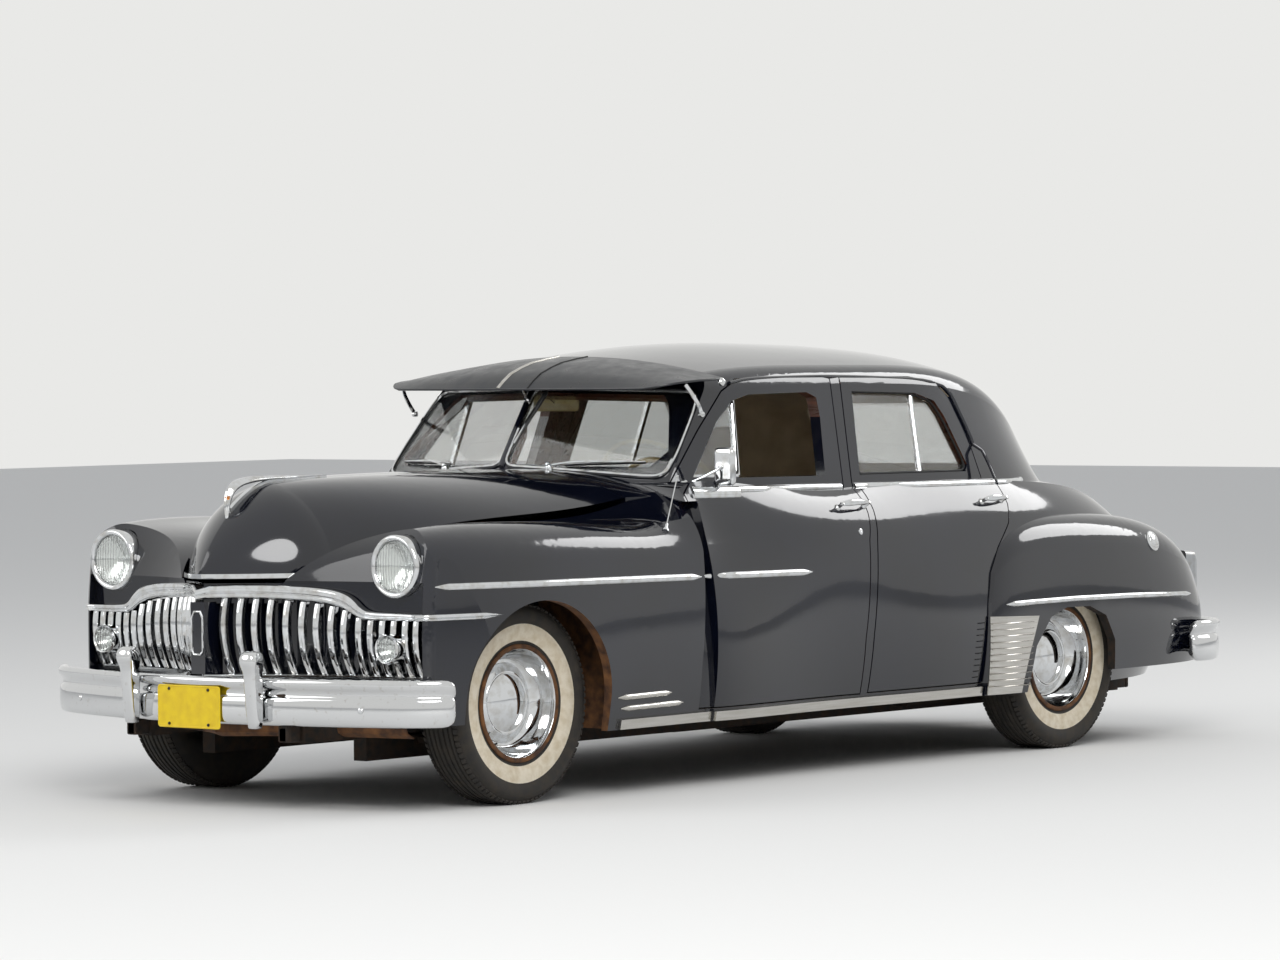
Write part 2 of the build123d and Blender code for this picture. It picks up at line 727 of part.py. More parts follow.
def knuckle(side):
    """Steering knuckle: kingpin post, brake drum and hub, for side 1 (left) or -1."""
    seat_y = front_track / 2 - wheel_seat_depth - contact_gap
    with BuildPart() as part:
        with BuildSketch(Plane.XY.offset(tyre_radius - knuckle_post)):
            with Locations((front_axle_x, side * kingpin_y)):
                Circle(17)
        extrude(amount=2 * knuckle_post)
    drum = [(0, kingpin_y + 8), (drum_radius, kingpin_y + 8), (drum_radius, kingpin_y + 56), (48, kingpin_y + 56),
            (34, seat_y), (0, seat_y)]
    return part.part + turned([(r, side * y) for r, y in drum], (front_axle_x, 0, tyre_radius))


def build_front_suspension():
    """Front cross-member with its arms and coil springs, ending at the kingpins."""
    low_z = tyre_radius - knuckle_post - contact_gap
    high_z = tyre_radius + knuckle_post + contact_gap
    member = block(front_axle_x - 60, front_axle_x + 60, -400, 400, sill_z, 300)
    left = block(front_axle_x - 50, front_axle_x + 50, rail_inner_y, 395, sill_z, high_z + arm_thickness)
    for z, inner_y in ((low_z - arm_thickness, rail_outer_y + contact_gap), (high_z, 335)):
        with BuildPart() as arm:
            with BuildSketch(Plane.XY.offset(z)):
                with BuildLine():
                    Polyline((front_axle_x - 110, inner_y), (front_axle_x - 20, kingpin_y + 7),
                             (front_axle_x + 20, kingpin_y + 7), (front_axle_x + 110, inner_y), close=True)
                make_face()
            extrude(amount=arm_thickness)
        left = left + arm.part
    with BuildPart() as spring:
        with BuildSketch(Plane.XY.offset(low_z - 2)):
            with Locations((front_axle_x, 456)):
                Circle(50)
        extrude(amount=high_z - low_z + 4)
    left = left + spring.part
    return member + left + mirrored(left)


leaf_y = 470


def build_rear_axle():
    """Live rear axle with its differential, brake drums and leaf springs."""
    seat_y = rear_track / 2 - wheel_seat_depth - contact_gap
    half = [(0, 0), (0, seat_y), (34, seat_y), (48, seat_y - 16), (135, seat_y - 18), (135, seat_y - 62),
            (38, seat_y - 66), (38, 0)]
    left = turned([(r, y) for r, y in half], (rear_axle_x, 0, tyre_radius))
    left = left + block(rear_axle_x - 32, rear_axle_x + 32, leaf_y - 30, leaf_y + 30, 224, tyre_radius)
    left = left + block(rear_axle_x - 620, rear_axle_x + 560, leaf_y - 24, leaf_y + 24, 186, 226)
    for x in (rear_axle_x - 600, rear_axle_x + 540):
        left = left + block(x - 20, x + 20, rail_outer_y + contact_gap, leaf_y + 24, 186, 226)
    with BuildPart() as differential:
        with Locations((rear_axle_x, 0, tyre_radius)):
            Sphere(128)
    return left + mirrored(left) + differential.part


cross_member_x = (2280, 1250, 500, -300, -1050, -1900, -2400)


def build_chassis():
    """Ladder frame: two side rails and cross-members under the body, with the bumper arms."""
    rail = block(-2450, 2120, rail_inner_y, rail_outer_y, rail_low_z, sill_z - contact_gap)
    rail = rail + block(2040, 2120, rail_inner_y, rail_outer_y, rail_low_z, horn_high_z)
    rail = rail + block(2040, 2440, rail_inner_y, rail_outer_y, horn_low_z, horn_high_z)
    frame = rail + mirrored(rail)
    for x in cross_member_x:
        low = horn_low_z if x > 2120 else rail_low_z
        frame = frame + block(x - 40, x + 40, -rail_inner_y - 5, rail_inner_y + 5, low + 16, low + 70)
    return frame


# Bumper section: outward offset from its plan line, and height above its lower edge
bumper_section = [
    (-12, 0), (5, 0), (13, 24), (15, 40), (12, 134), (20, 142), (20, 156), (10, 166), (-10, 165), (-18, 154),
    (-8, 138), (-8, 26), (-14, 12),
]
bumper_low_z = 306


def bumper_bar(tip, corner, middle_x):
    """A bumper bar swept along its plan line, from one tip round the front to the other."""
    with BuildPart() as bar:
        with BuildLine() as plan:
            face = ThreePointArc((corner[0], -corner[1], bumper_low_z), (middle_x, 0, bumper_low_z),
                                 (corner[0], corner[1], bumper_low_z))
            TangentArc((corner[0], corner[1], bumper_low_z), (tip[0], tip[1], bumper_low_z), tangent=face % 1)
            back = face % 0
            TangentArc((corner[0], -corner[1], bumper_low_z), (tip[0], -tip[1], bumper_low_z),
                       tangent=(-back.X, -back.Y, 0))
        wire = plan.wire()
        start = wire @ 0
        way = wire % 0
        out = way.cross(Vector(0, 0, 1))
        if out.Y * start.Y < 0:
            out = out * -1
        with BuildSketch(Plane(origin=start, x_dir=out, z_dir=way)):
            with BuildLine():
                rise = way.cross(out).Z
                Polyline([(o, rise * z) for o, z in bumper_section], close=True)
            make_face()
        sweep(path=wire)
    return bar.part


# Overrider: height, middle x, depth and width of each level
guard_levels = [
    (298, 2574, 44, 42), (370, 2578, 56, 50), (450, 2582, 62, 52), (492, 2584, 66, 56), (528, 2590, 78, 74),
    (552, 2590, 70, 66), (568, 2588, 44, 40),
]


def bumper_guard(direction):
    """A left overrider with its bulbous top, for the front (1) or the rear (-1)."""
    with BuildPart() as guard:
        for z, x, depth, width in guard_levels:
            with BuildSketch(Plane.XY.offset(z)):
                with Locations((direction * x, 300)):
                    RectangleRounded(depth, width, min(depth, width) * 0.3)
        loft(ruled=True)
    return guard.part


def build_bumper(direction, tip, corner, middle_x, frame):
    """A bumper: its bar, two overriders, and arms that end on the side rails."""
    arm_start = direction * (2440 if direction > 0 else 2450)
    arm_low_z = (horn_low_z if direction > 0 else rail_low_z) + 6
    arm_end = middle_x - direction * 40
    low = min(arm_start, arm_end)
    high = max(arm_start, arm_end)
    arm = block(low, high, 345, 395, arm_low_z, arm_low_z + 60)
    back = arm_end - direction * 26
    upright = block(min(arm_end, back), max(arm_end, back), 345, 395, arm_low_z, 420)
    face = middle_x - direction * 20
    strap = block(min(back, face), max(back, face), 290, 395, 350, 420)
    left = bumper_guard(direction) + arm + upright + strap
    whole = bumper_bar(tip, corner, middle_x) + left + mirrored(left)
    return whole - frame


post_front_x = 2546
badge_face = 6


def badge_outline(margin):
    """The long eight-sided badge at the centre, its outline moved inwards by margin."""
    half, low, high = 26 - margin, 545 + margin, 695 - margin
    with BuildPart() as badge:
        with BuildSketch(Plane.YZ.offset(post_front_x + contact_gap)):
            with BuildLine():
                Polyline((half, low + 18), (half, high - 18), (half - 12, high), (12 - half, high), (-half, high - 18),
                         (-half, low + 18), (12 - half, low), (half - 12, low), close=True)
            make_face()
        extrude(amount=badge_face)
    return badge.part


def build_grille_surround():
    """Chrome header moulding with its side wings, the sill bar, and the outline of the blank badge."""
    upper = [(p.y, p.top) for p in header_table]
    lower = [(p.y, p.bottom) for p in header_table]
    header = upper + lower[::-1] + [(-y, z) for y, z in lower if y] + [(-y, z) for y, z in upper[::-1] if y]
    bar = front_view_wall(header, header_front_x, header_thickness)
    low, high = grille_sill
    edge = front_half_width
    sill = front_view_wall([(-edge, low), (edge, low), (edge, high), (-edge, high)], grille_sill_x, grille_sill_depth)
    rim = badge_outline(0) - badge_outline(6)
    wing = (fender_barrel(-9, sill_z, 0) & nose_plan_hull(-9)) - (
        fender_barrel(-contact_gap, sill_z, 90) & nose_plan_hull(-contact_gap))
    wing = wing & side_prism([(2400, 692, 0), (2400, 667, 0), (2080, 668, 0), (2005, 680, 0), (2080, 691, 0)], 1000, 760)
    wing = wing - front_view_wall([(-900, 600), (900, 600), (900, 760), (-900, 760)], header_front_x + 200, 500)
    return [bar, sill, rim] + list(wing.solids()) + list(mirrored(wing).solids())


def build_grille_panel():
    """Dark wall behind the teeth, the shelf over it, and the painted post at the centre."""
    upper = [(p.y, p.bottom - 4) for p in header_table]
    back = front_view_wall(both_ways([(0, 336), (790, 336), (790, 663)] + upper[-2::-1]), grille_back_x, 20)
    post = block(grille_back_x - 10, post_front_x, -34, 34, grille_sill[1] + contact_gap, 728)
    shelf = hood_plan(seam - contact_gap) & block(2230, 2640, -400, 400, 722, 792)
    shelf = shelf - block(2000, 2330, -400, 400, 700, 774)
    ahead = front_view_wall([(-900, 100), (900, 100), (900, 950), (-900, 950)], header_front_x + 300,
                            header_thickness + 300 + contact_gap)
    return back + post + (shelf - ahead)


tooth_width = 27
tooth_positions = [72, 121, 168, 217, 273, 330, 386, 444, 495, 548, 595, 643, 690, 737, 782]


def tooth_at(y):
    """One bowed tooth with its rounded face, standing between the sill bar and the header."""
    x = front_curve_x(tooth_front_x, y)
    low_x = front_curve_x(grille_sill_x, y) - 4
    low = grille_sill[1] + contact_gap
    high = min(header_bottom(y - tooth_width / 2), header_bottom(y + tooth_width / 2)) - contact_gap
    bow = 14 if y < 540 else 4
    middle = low + 0.6 * (high - low)
    with BuildPart() as tooth:
        with BuildSketch(Plane.XZ.offset(-(y - tooth_width / 2))):
            with BuildLine():
                ThreePointArc((low_x, low), (x + bow, middle), (x, high))
                Line((x, high), (x - 24, high))
                ThreePointArc((x - 24, high), (x - 24 + bow, middle), (low_x - 24, low))
                Line((low_x - 24, low), (low_x, low))
            make_face()
        extrude(amount=-tooth_width)
        fillet(tooth.edges().filter_by(lambda e: e.length > 100).sort_by(Axis.X)[-2:], 9)
    return tooth.part


def build_teeth(lamps):
    """Vertical chrome teeth: a bowed row each side of the post and a straighter row behind the lamps."""
    teeth = []
    for y in tooth_positions:
        tooth = tooth_at(y)
        if abs(y - parking_lamp_y) < parking_lamp_radius + tooth_width:
            tooth = tooth - lamps
        teeth.extend(piece for piece in tooth.solids() if piece.volume > 500)
    return teeth + [mirrored(tooth) for tooth in teeth]


def lamp(x, y, z, radius, depth, hollow, rim_width):
    """A round lamp facing forwards: its rim with the bowl behind it, and its domed lens."""
    with BuildPart() as rim:
        with BuildSketch(Plane.YZ.offset(x - depth)):
            with Locations((y, z)):
                Circle(radius)
        extrude(amount=depth)
        with BuildSketch(Plane.YZ.offset(x - hollow)):
            with Locations((y, z)):
                Circle(radius - rim_width)
        extrude(amount=hollow, mode=Mode.SUBTRACT)
        fillet(rim.edges().filter_by(GeomType.CIRCLE).group_by(Axis.X)[-1].sort_by(SortBy.LENGTH)[-1], rim_width * 0.7)
    lens_radius = radius - rim_width - contact_gap
    with BuildPart() as lens:
        with BuildSketch(Plane(origin=(x - hollow, y, z), x_dir=(0, 1, 0), z_dir=(1, 0, 0))):
            Circle(lens_radius)
        extrude(amount=hollow - 4)
    return rim.part, lens.part


def build_tail_lamps():
    """Left tail lamp: a tall housing on the end of the rear fender."""
    with BuildPart() as housing:
        for x, width, height in ((-2380, 64, 200), (-2450, 58, 190), (-2478, 34, 150)):
            with BuildSketch(Plane.YZ.offset(x)):
                with Locations((762, 645)):
                    RectangleRounded(width, height, 16)
        loft(ruled=True)
    return housing.part


def build_seat(front_x, back_x, half_width, low_z, cushion_z, back_z):
    """A bench seat: its cushion and its leaning back in one closed form."""
    with BuildPart() as seat:
        with BuildSketch(Plane.XZ.offset(-half_width)):
            with BuildLine():
                Polyline((front_x, low_z), (front_x + 20, cushion_z - 40), (front_x + 10, cushion_z),
                         (back_x + 190, cushion_z - 50), (back_x + 120, back_z - 30), (back_x + 95, back_z),
                         (back_x - 40, back_z), (back_x - 55, back_z - 40), (back_x, low_z), close=True)
            make_face()
        extrude(amount=2 * half_width)
    return seat.part


# Sun visor: arches across the car, under its plan outline: x, half width, side z and crown z
visor_arches = [(520, 760, 1480, 1562), (670, 760, 1462, 1556), (820, 760, 1425, 1512), (970, 760, 1372, 1432)]
visor_plan = [(548, 735), (742, 718), (800, 640), (822, 590), (942, 40)]
visor_thickness = 7


def build_visor(shell):
    """Painted outside sun visor over the windshield, resting on the roof's front edge."""
    forms = []
    for lift in (0, -visor_thickness):
        with BuildPart() as form:
            for x, half, side_z, crown_z in visor_arches:
                with BuildSketch(Plane.YZ.offset(x)):
                    with BuildLine():
                        ThreePointArc((half, side_z + lift), (0, crown_z + lift), (-half, side_z + lift))
                        Polyline((-half, side_z + lift), (-half, 1300), (half, 1300), (half, side_z + lift))
                    make_face()
            loft()
        forms.append(form.part)
    with BuildPart() as plan:
        with BuildSketch(Plane.XY.offset(1290)):
            with BuildLine():
                Polyline([(520, 640)] + visor_plan + [(x, -y) for x, y in visor_plan[::-1]] + [(520, -640)], close=True)
            make_face()
        extrude(amount=400)
    visor = ((forms[0] - forms[1]) & plan.part) - greenhouse_hull(-contact_gap) - shell
    return visor.solids().sort_by(SortBy.VOLUME)[-1]


def glass_ring():
    """The middle of the cabin wall's thickness, from which the side and back panes are cut."""
    return greenhouse_hull(roof_wall / 2 - 3) - greenhouse_hull(roof_wall / 2 + 3)


def build_fixed_glass(ring):
    """Windshield panes and the back window."""
    pane = pane_prism(20, windshield_thickness - 20)
    back = ring & across_car(back_window_size, back_window_z, -1300, -2000)
    return list(pane.solids()) + list(mirrored(pane).solids()) + list(back.solids())


def build_dashboard():
    """Dashboard across the cabin, against the firewall."""
    with BuildPart() as dash:
        with BuildSketch(Plane.XZ.offset(-692)):
            with BuildLine():
                Polyline((620, 880), (566, 1000), (590, 1086), (690, 1104), (firewall_x - contact_gap, 1104),
                         (firewall_x - contact_gap, 880), close=True)
            make_face()
        extrude(amount=2 * 692)
    return dash.part & tub_hull(wall + 9, 200)


steering_way = Vector(-math.cos(math.radians(steering_tilt)), 0, math.sin(math.radians(steering_tilt)))
steering_plane = Plane(origin=steering_centre, x_dir=(0, 1, 0), z_dir=steering_way)


def build_steering_wheel():
    """Thin-rimmed steering wheel with two spokes and its boss."""
    with BuildPart() as wheel:
        with BuildSketch(Plane(origin=steering_centre, x_dir=(0, 1, 0), z_dir=steering_way.cross(Vector(0, 1, 0)))):
            with Locations((steering_radius, 0)):
                Circle(11)
        revolve(axis=Axis(steering_centre, steering_way))
        with BuildSketch(steering_plane.offset(-30)):
            Circle(38)
        extrude(amount=40)
        with BuildSketch(steering_plane.offset(-12)):
            Rectangle(2 * steering_radius, 22)
        extrude(amount=12)
    return wheel.part


def build_column(radius):
    """Steering column from the firewall to the wheel's boss."""
    with BuildPart() as column:
        with BuildSketch(steering_plane.offset(-30 - contact_gap)):
            Circle(radius)
        extrude(amount=-520)
    return column.part & block(0, firewall_x - contact_gap, -1000, 1000, 0, 2000)


def build_sill_trim(shell):
    """Bright strips along the left sill and the stone guard on the rear fender."""
    low, high = sill_z + 1, sill_z + 36
    strip = (tub_hull(-12, sill_z) - tub_hull(-contact_gap, sill_z)) & block(-855, 796, 0, 1000, low, high)
    front = fender_barrel(-12, sill_z, 0) - fender_barrel(-contact_gap, sill_z, 90)
    front = front & block(796 + contact_gap, 1330, 700, 1000, low, high)
    guard = pontoon_hull(-5, 200) - pontoon_hull(-contact_gap, 200)
    guard = guard & side_prism([(-866, 546, 0), (-1152, 538, 0), (-1100, 400, 0), (-1075, 300, 0), (-1066, 242, 0),
                                (-866, 242, 0)], 1000, 800)
    return [piece for strip_part in (strip - shell, front - shell, guard - shell) for piece in strip_part.solids()]


def build_mirror(door):
    """Door mirror on an arm from a foot on the front of the left door's window frame."""
    with BuildPart() as head:
        with BuildSketch(Plane.YZ.offset(648)):
            with Locations((848, 1162)):
                RectangleRounded(92, 140, 18)
        extrude(amount=24)
    arm = rod((660, 846, 1158), (790, 740, 1098), 6)
    mirror_part = (head.part + arm) - door
    return mirror_part.solids().sort_by(SortBy.VOLUME)[-1]


def build_exhaust():
    """Exhaust pipe with its silencer under the frame."""
    pipe_z = rail_low_z + 16 - contact_gap - 24
    pipe = rod((1160, -250, pipe_z), (-2560, -250, pipe_z), 24)
    with BuildPart() as silencer:
        with BuildSketch(Plane.YZ.offset(-900)):
            with Locations((-250, pipe_z - 20)):
                Ellipse(90, 44)
        extrude(amount=560)
    return pipe + silencer.part


pieces = {}


def keep(name, piece):
    """Name a finished piece and put it with the others."""
    if isinstance(piece, list):
        piece = Compound(children=piece)
    piece.label = name
    pieces[name] = piece
    print(name, len(piece.solids()), round(piece.volume / 1e9, 5), piece.is_valid, flush=True)
    export_step(piece, f"parts/{name}.step")


shell, front_door, rear_door, lid = build_body_and_doors()
front_fender = build_front_fender(shell)
rear_fender = build_rear_fender()
frame = build_chassis()
ring = glass_ring()
column = build_column(22)
engine = block(1150, 1960, -230, 230, 300 + contact_gap, 860)

head_rim, head_lens = lamp(headlamp_x, headlamp_y, headlamp_z, headlamp_radius, 76, 22, 18)
park_rim, park_lens = lamp(parking_lamp_x, parking_lamp_y, parking_lamp_z, parking_lamp_radius, 124, 14, 9)
park_space = Pos(parking_lamp_x, parking_lamp_y, parking_lamp_z) * Cylinder(
    parking_lamp_radius + contact_gap, 400, rotation=(0, 90, 0))

keep("body_shell", shell)
keep("front_door_left", front_door)
keep("front_door_right", mirrored(front_door))
keep("rear_door_left", rear_door)
keep("rear_door_right", mirrored(rear_door))
keep("boot_lid", lid)
keep("front_fenders", both_sides(front_fender))
keep("rear_fenders", both_sides(rear_fender))
keep("hood", build_hood())
keep("hood_trim", build_hood_trim())
for name, x, track in (("front", front_axle_x, front_track), ("rear", rear_axle_x, rear_track)):
    for side_name, side in (("left", 1), ("right", -1)):
        keep(f"{name}_tyre_{side_name}", tyre_at(x, side * track / 2))
        keep(f"{name}_wheel_{side_name}", wheel_at(x, side * track / 2, side))
keep("knuckle_left", knuckle(1))
keep("knuckle_right", knuckle(-1))
keep("front_suspension", build_front_suspension())
keep("rear_axle", build_rear_axle())
keep("chassis_frame", frame)
keep("front_bumper", build_bumper(1, (2255, 946), (2395, 800), 2552, frame))
keep("rear_bumper", build_bumper(-1, (-2190, 944), (-2480, 800), -2580, frame))
keep("grille_surround", build_grille_surround())
keep("grille_teeth", build_teeth(park_space))
keep("grille_panel", build_grille_panel() - front_fender - mirrored(front_fender) - park_space - mirrored(park_space))
keep("engine", engine)
keep("lamp_rims", both_sides(head_rim + park_rim))
keep("lamp_lenses", both_sides(head_lens + park_lens))
keep("tail_lamps", both_sides((build_tail_lamps() - pontoon_hull(-contact_gap, sill_z)).solids().sort_by(SortBy.VOLUME)[-1]))
keep("front_seat", build_seat(430, -40, 640, floor_z + contact_gap, 600, 1020))
keep("rear_seat", build_seat(-540, -1000, 570, floor_z + contact_gap, 600, 1040))
keep("sun_visor", build_visor(shell))
keep("front_glass_left", ring & side_prism(vent_window))
keep("front_glass_right", mirrored(ring & side_prism(vent_window)))
keep("rear_glass_left", ring & side_prism(rear_window))
keep("rear_glass_right", mirrored(ring & side_prism(rear_window)))
keep("window_glass", build_fixed_glass(ring))
keep("dashboard", build_dashboard() - build_column(22 + contact_gap))
keep("steering_column", column)
keep("steering_wheel", build_steering_wheel())
keep("number_plate", block(2567.3, 2570.3, -178, 126, 288, 438))
sill_trim = build_sill_trim(shell)
keep("sill_trim", sill_trim + [mirrored(piece) for piece in sill_trim])
keep("door_mirror", build_mirror(front_door))
keep("exhaust", build_exhaust())
keep("fuel_tank", block(-2355, -1945, -rail_inner_y + contact_gap, rail_inner_y - contact_gap, rail_low_z + 17, sill_z - contact_gap))
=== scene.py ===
"""Finishes, trims and fittings of a four-door saloon car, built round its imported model."""
import json
from math import asin, ceil, copysign, cos, pi, radians, sin, sqrt

import bmesh
import bpy
from mathutils import Matrix, Vector
from mathutils.bvhtree import BVHTree

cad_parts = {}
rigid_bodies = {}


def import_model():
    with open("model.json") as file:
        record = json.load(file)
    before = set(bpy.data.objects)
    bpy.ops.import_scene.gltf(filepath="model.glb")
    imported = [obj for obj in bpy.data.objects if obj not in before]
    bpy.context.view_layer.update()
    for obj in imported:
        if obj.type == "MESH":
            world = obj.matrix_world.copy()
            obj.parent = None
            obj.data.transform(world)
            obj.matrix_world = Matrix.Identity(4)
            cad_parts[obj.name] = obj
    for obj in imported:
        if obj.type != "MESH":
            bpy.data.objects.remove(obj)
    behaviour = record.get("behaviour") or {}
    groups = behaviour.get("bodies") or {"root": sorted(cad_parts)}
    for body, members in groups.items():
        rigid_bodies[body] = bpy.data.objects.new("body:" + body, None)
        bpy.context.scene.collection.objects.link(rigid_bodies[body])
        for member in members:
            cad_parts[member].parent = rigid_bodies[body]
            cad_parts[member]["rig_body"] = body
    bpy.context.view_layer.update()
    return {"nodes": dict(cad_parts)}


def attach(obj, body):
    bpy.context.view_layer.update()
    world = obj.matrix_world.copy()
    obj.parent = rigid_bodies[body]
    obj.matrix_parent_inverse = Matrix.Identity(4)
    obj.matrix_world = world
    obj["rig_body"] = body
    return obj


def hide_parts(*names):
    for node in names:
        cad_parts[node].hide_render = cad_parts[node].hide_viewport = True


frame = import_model()
nodes = frame["nodes"]
body_of_node = {name: node["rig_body"] for name, node in nodes.items()}

mm = 0.001
merge_distance = 2e-6
front_axle = Vector((1.743, 0, 0.355))
rear_axle = Vector((-1.445, 0, 0.355))
front_track = 1.424
rear_track = 1.514
headlamp = Vector((2.287, 0.689, 0.854))
parking_lamp = Vector((2.332, 0.690, 0.571))


# Finishes


def linear(code):
    """An sRGB hex colour as linear numbers."""
    values = [int(code[i:i + 2], 16) / 255 for i in (0, 2, 4)]
    return [v / 12.92 if v <= 0.04045 else ((v + 0.055) / 1.055) ** 2.4 for v in values] + [1.0]


def add(tree, kind, inputs=None, **settings):
    """Adds a node. Each input is a value or the output socket that feeds it."""
    node = tree.nodes.new(kind)
    for name, value in settings.items():
        setattr(node, name, value)
    for name, value in (inputs or {}).items():
        if isinstance(value, bpy.types.NodeSocket):
            tree.links.new(value, node.inputs[name])
        else:
            node.inputs[name].default_value = value
    return node


def finish(name, color, roughness, metallic=0.0, **more):
    """A new material with its plain values set."""
    material = bpy.data.materials.new(name)
    material.use_nodes = True
    inputs = material.node_tree.nodes["Principled BSDF"].inputs
    values = {"Base Color": linear(color), "Roughness": roughness, "Metallic": metallic, **more}
    for key, value in values.items():
        inputs[key.replace("_", " ")].default_value = value
    return material


def feed(material, socket, name):
    """Links a socket to an input of a material's shader."""
    material.node_tree.links.new(socket, material.node_tree.nodes["Principled BSDF"].inputs[name])


def place(tree, size_mm, stretch=(1, 1, 1)):
    """Object coordinates scaled so that one unit of pattern is size_mm."""
    coords = add(tree, "ShaderNodeTexCoord")
    scale = [1000 / size_mm * s for s in stretch]
    return add(tree, "ShaderNodeMapping", {"Vector": coords.outputs["Object"], "Scale": scale}).outputs[0]


def color_between(material, share, colors):
    """Lets a material's colour go from the first colour to the second with a share."""
    mix = add(material.node_tree, "ShaderNodeMix", {"Factor": share}, data_type="RGBA")
    mix.inputs[6].default_value = linear(colors[0])
    mix.inputs[7].default_value = linear(colors[1])
    feed(material, mix.outputs[2], "Base Color")


def raised(material, height, depth_mm, strength):
    """A bump of a real depth."""
    relief = add(material.node_tree, "ShaderNodeBump",
                 {"Height": height, "Distance": depth_mm * mm, "Strength": strength})
    feed(material, relief.outputs[0], "Normal")


def vary(material, size_mm, low, high, colors, roughness, stretch=(1, 1, 1), detail=4.0, bump=None):
    """Noise of a real size between two colours and two roughnesses, with a bump of a real depth."""
    tree = material.node_tree
    noise = add(tree, "ShaderNodeTexNoise",
                {"Vector": place(tree, size_mm, stretch), "Scale": 1.0, "Detail": detail})
    share = add(tree, "ShaderNodeMapRange",
                {"Value": noise.outputs["Fac"], "From Min": low, "From Max": high}).outputs["Result"]
    color_between(material, share, colors)
    rough = add(tree, "ShaderNodeMapRange", {"Value": share, "To Min": roughness[0], "To Max": roughness[1]})
    feed(material, rough.outputs["Result"], "Roughness")
    if bump:
        raised(material, noise.outputs["Fac"], bump, 0.6)
    return material


# cellulose enamel, sprayed and polished: nearly black navy under a deep gloss, with a little road dust
enamel = vary(finish("navy_cellulose_enamel", "0A0D18", 0.09, IOR=1.5, Coat_Weight=0.6, Coat_Roughness=0.03),
              420, 0.35, 0.75, ("080A14", "0E1220"), (0.06, 0.13))
# the visor is older, duller paint
visor_enamel = vary(finish("satin_dark_enamel", "15171D", 0.34, IOR=1.5, Coat_Weight=0.15),
                    60, 0.3, 0.7, ("121419", "1D2026"), (0.26, 0.42))
# bright nickel-chromium plate: mirror with faint haze and pitting
chrome = vary(finish("chromium_plate", "D6D8DA", 0.08, 1.0),
              35, 0.45, 0.8, ("DADCDE", "B9B6B0"), (0.045, 0.16), detail=8.0)
# older plate that has lost its edge, on the bumpers
worn_chrome = vary(finish("worn_chromium_plate", "CFCFCD", 0.14, 1.0),
                   22, 0.62, 0.9, ("D6D7D8", "A79F93"), (0.06, 0.2), detail=10.0)
# rolled stainless strip: slightly warm, drawn along its length
stainless = vary(finish("rolled_stainless_steel", "C9C7C2", 0.2, 1.0),
                 9, 0.3, 0.7, ("CECCC8", "BDBAB3"), (0.14, 0.27), stretch=(0.05, 1, 1))
# bare and rusted pressings inside the arches
rust = vary(finish("rusted_sheet_steel", "4A2F1B", 0.9),
            45, 0.35, 0.7, ("3A2416", "7A5230"), (0.8, 0.97), detail=10.0, bump=1.2)
underseal = vary(finish("dirty_underseal", "17130F", 0.92),
                 30, 0.35, 0.75, ("100E0C", "3A2A1D"), (0.82, 0.97), detail=9.0, bump=1.5)
cast = vary(finish("oily_cast_iron", "24211E", 0.55, 0.4),
            12, 0.35, 0.7, ("1B1917", "3A332C"), (0.4, 0.75), detail=8.0, bump=0.6)
engine_enamel = vary(finish("grey_engine_enamel", "474C4E", 0.45),
                     50, 0.4, 0.75, ("454A4D", "26221E"), (0.35, 0.7), detail=8.0, bump=0.5)
# tyre rubber, moulded and dusty
rubber = vary(finish("black_tyre_rubber", "1D1B19", 0.8),
              40, 0.3, 0.75, ("171615", "3B352E"), (0.7, 0.93), detail=9.0, bump=0.4)
white_wall = vary(finish("cream_side_wall_rubber", "DDD2BC", 0.62),
                  28, 0.35, 0.8, ("E0D6C2", "C4B496"), (0.5, 0.75), detail=7.0)
seal_rubber = vary(finish("black_rubber_seal", "0E0E0E", 0.6), 8, 0.3, 0.7, ("0B0B0B", "1A1918"), (0.5, 0.75))
# thin flat glass: partly clear, so that daylight reaches the cabin
window_pane = finish("window_glass", "E9F2EE", 0.0, IOR=1.45, Transmission_Weight=1.0, Alpha=0.35)
lens_glass = finish("pressed_lamp_glass", "F4F6F4", 0.14, IOR=1.5, Transmission_Weight=1.0)
ruby_glass = finish("ruby_lamp_glass", "B00E10", 0.06, IOR=1.5, Transmission_Weight=0.35)
amber = finish("amber_moulded_plastic", "D9822B", 0.12, IOR=1.49, Transmission_Weight=0.5)
silvering = finish("silvered_reflector", "E8E9EA", 0.05, 1.0)
mirror_glass = finish("silvered_mirror_glass", "DDE1E2", 0.01, 1.0)
cream_plastic = vary(finish("cream_moulded_plastic", "D8C48C", 0.3, IOR=1.5, Coat_Weight=0.3),
                     30, 0.3, 0.75, ("DCC990", "C3A868"), (0.24, 0.4))
dash_enamel = vary(finish("brown_dash_enamel", "4B2A1C", 0.3, Coat_Weight=0.4),
                   16, 0.35, 0.7, ("3C2015", "633A26"), (0.25, 0.4), stretch=(1, 0.12, 1), detail=6.0)
dial_face = finish("printed_dial_face", "CFC7A8", 0.5)
dial_ink = finish("dark_dial_ink", "1C1A16", 0.6)
plate_paint = vary(finish("yellow_plate_enamel", "E8C813", 0.4),
                   40, 0.35, 0.75, ("EACB14", "D9B516"), (0.32, 0.5))
carpet = vary(finish("brown_loop_carpet", "3D3027", 0.95, Sheen_Weight=0.3),
              6, 0.3, 0.7, ("2E241D", "524235"), (0.9, 1.0), detail=3.0, bump=2.0)


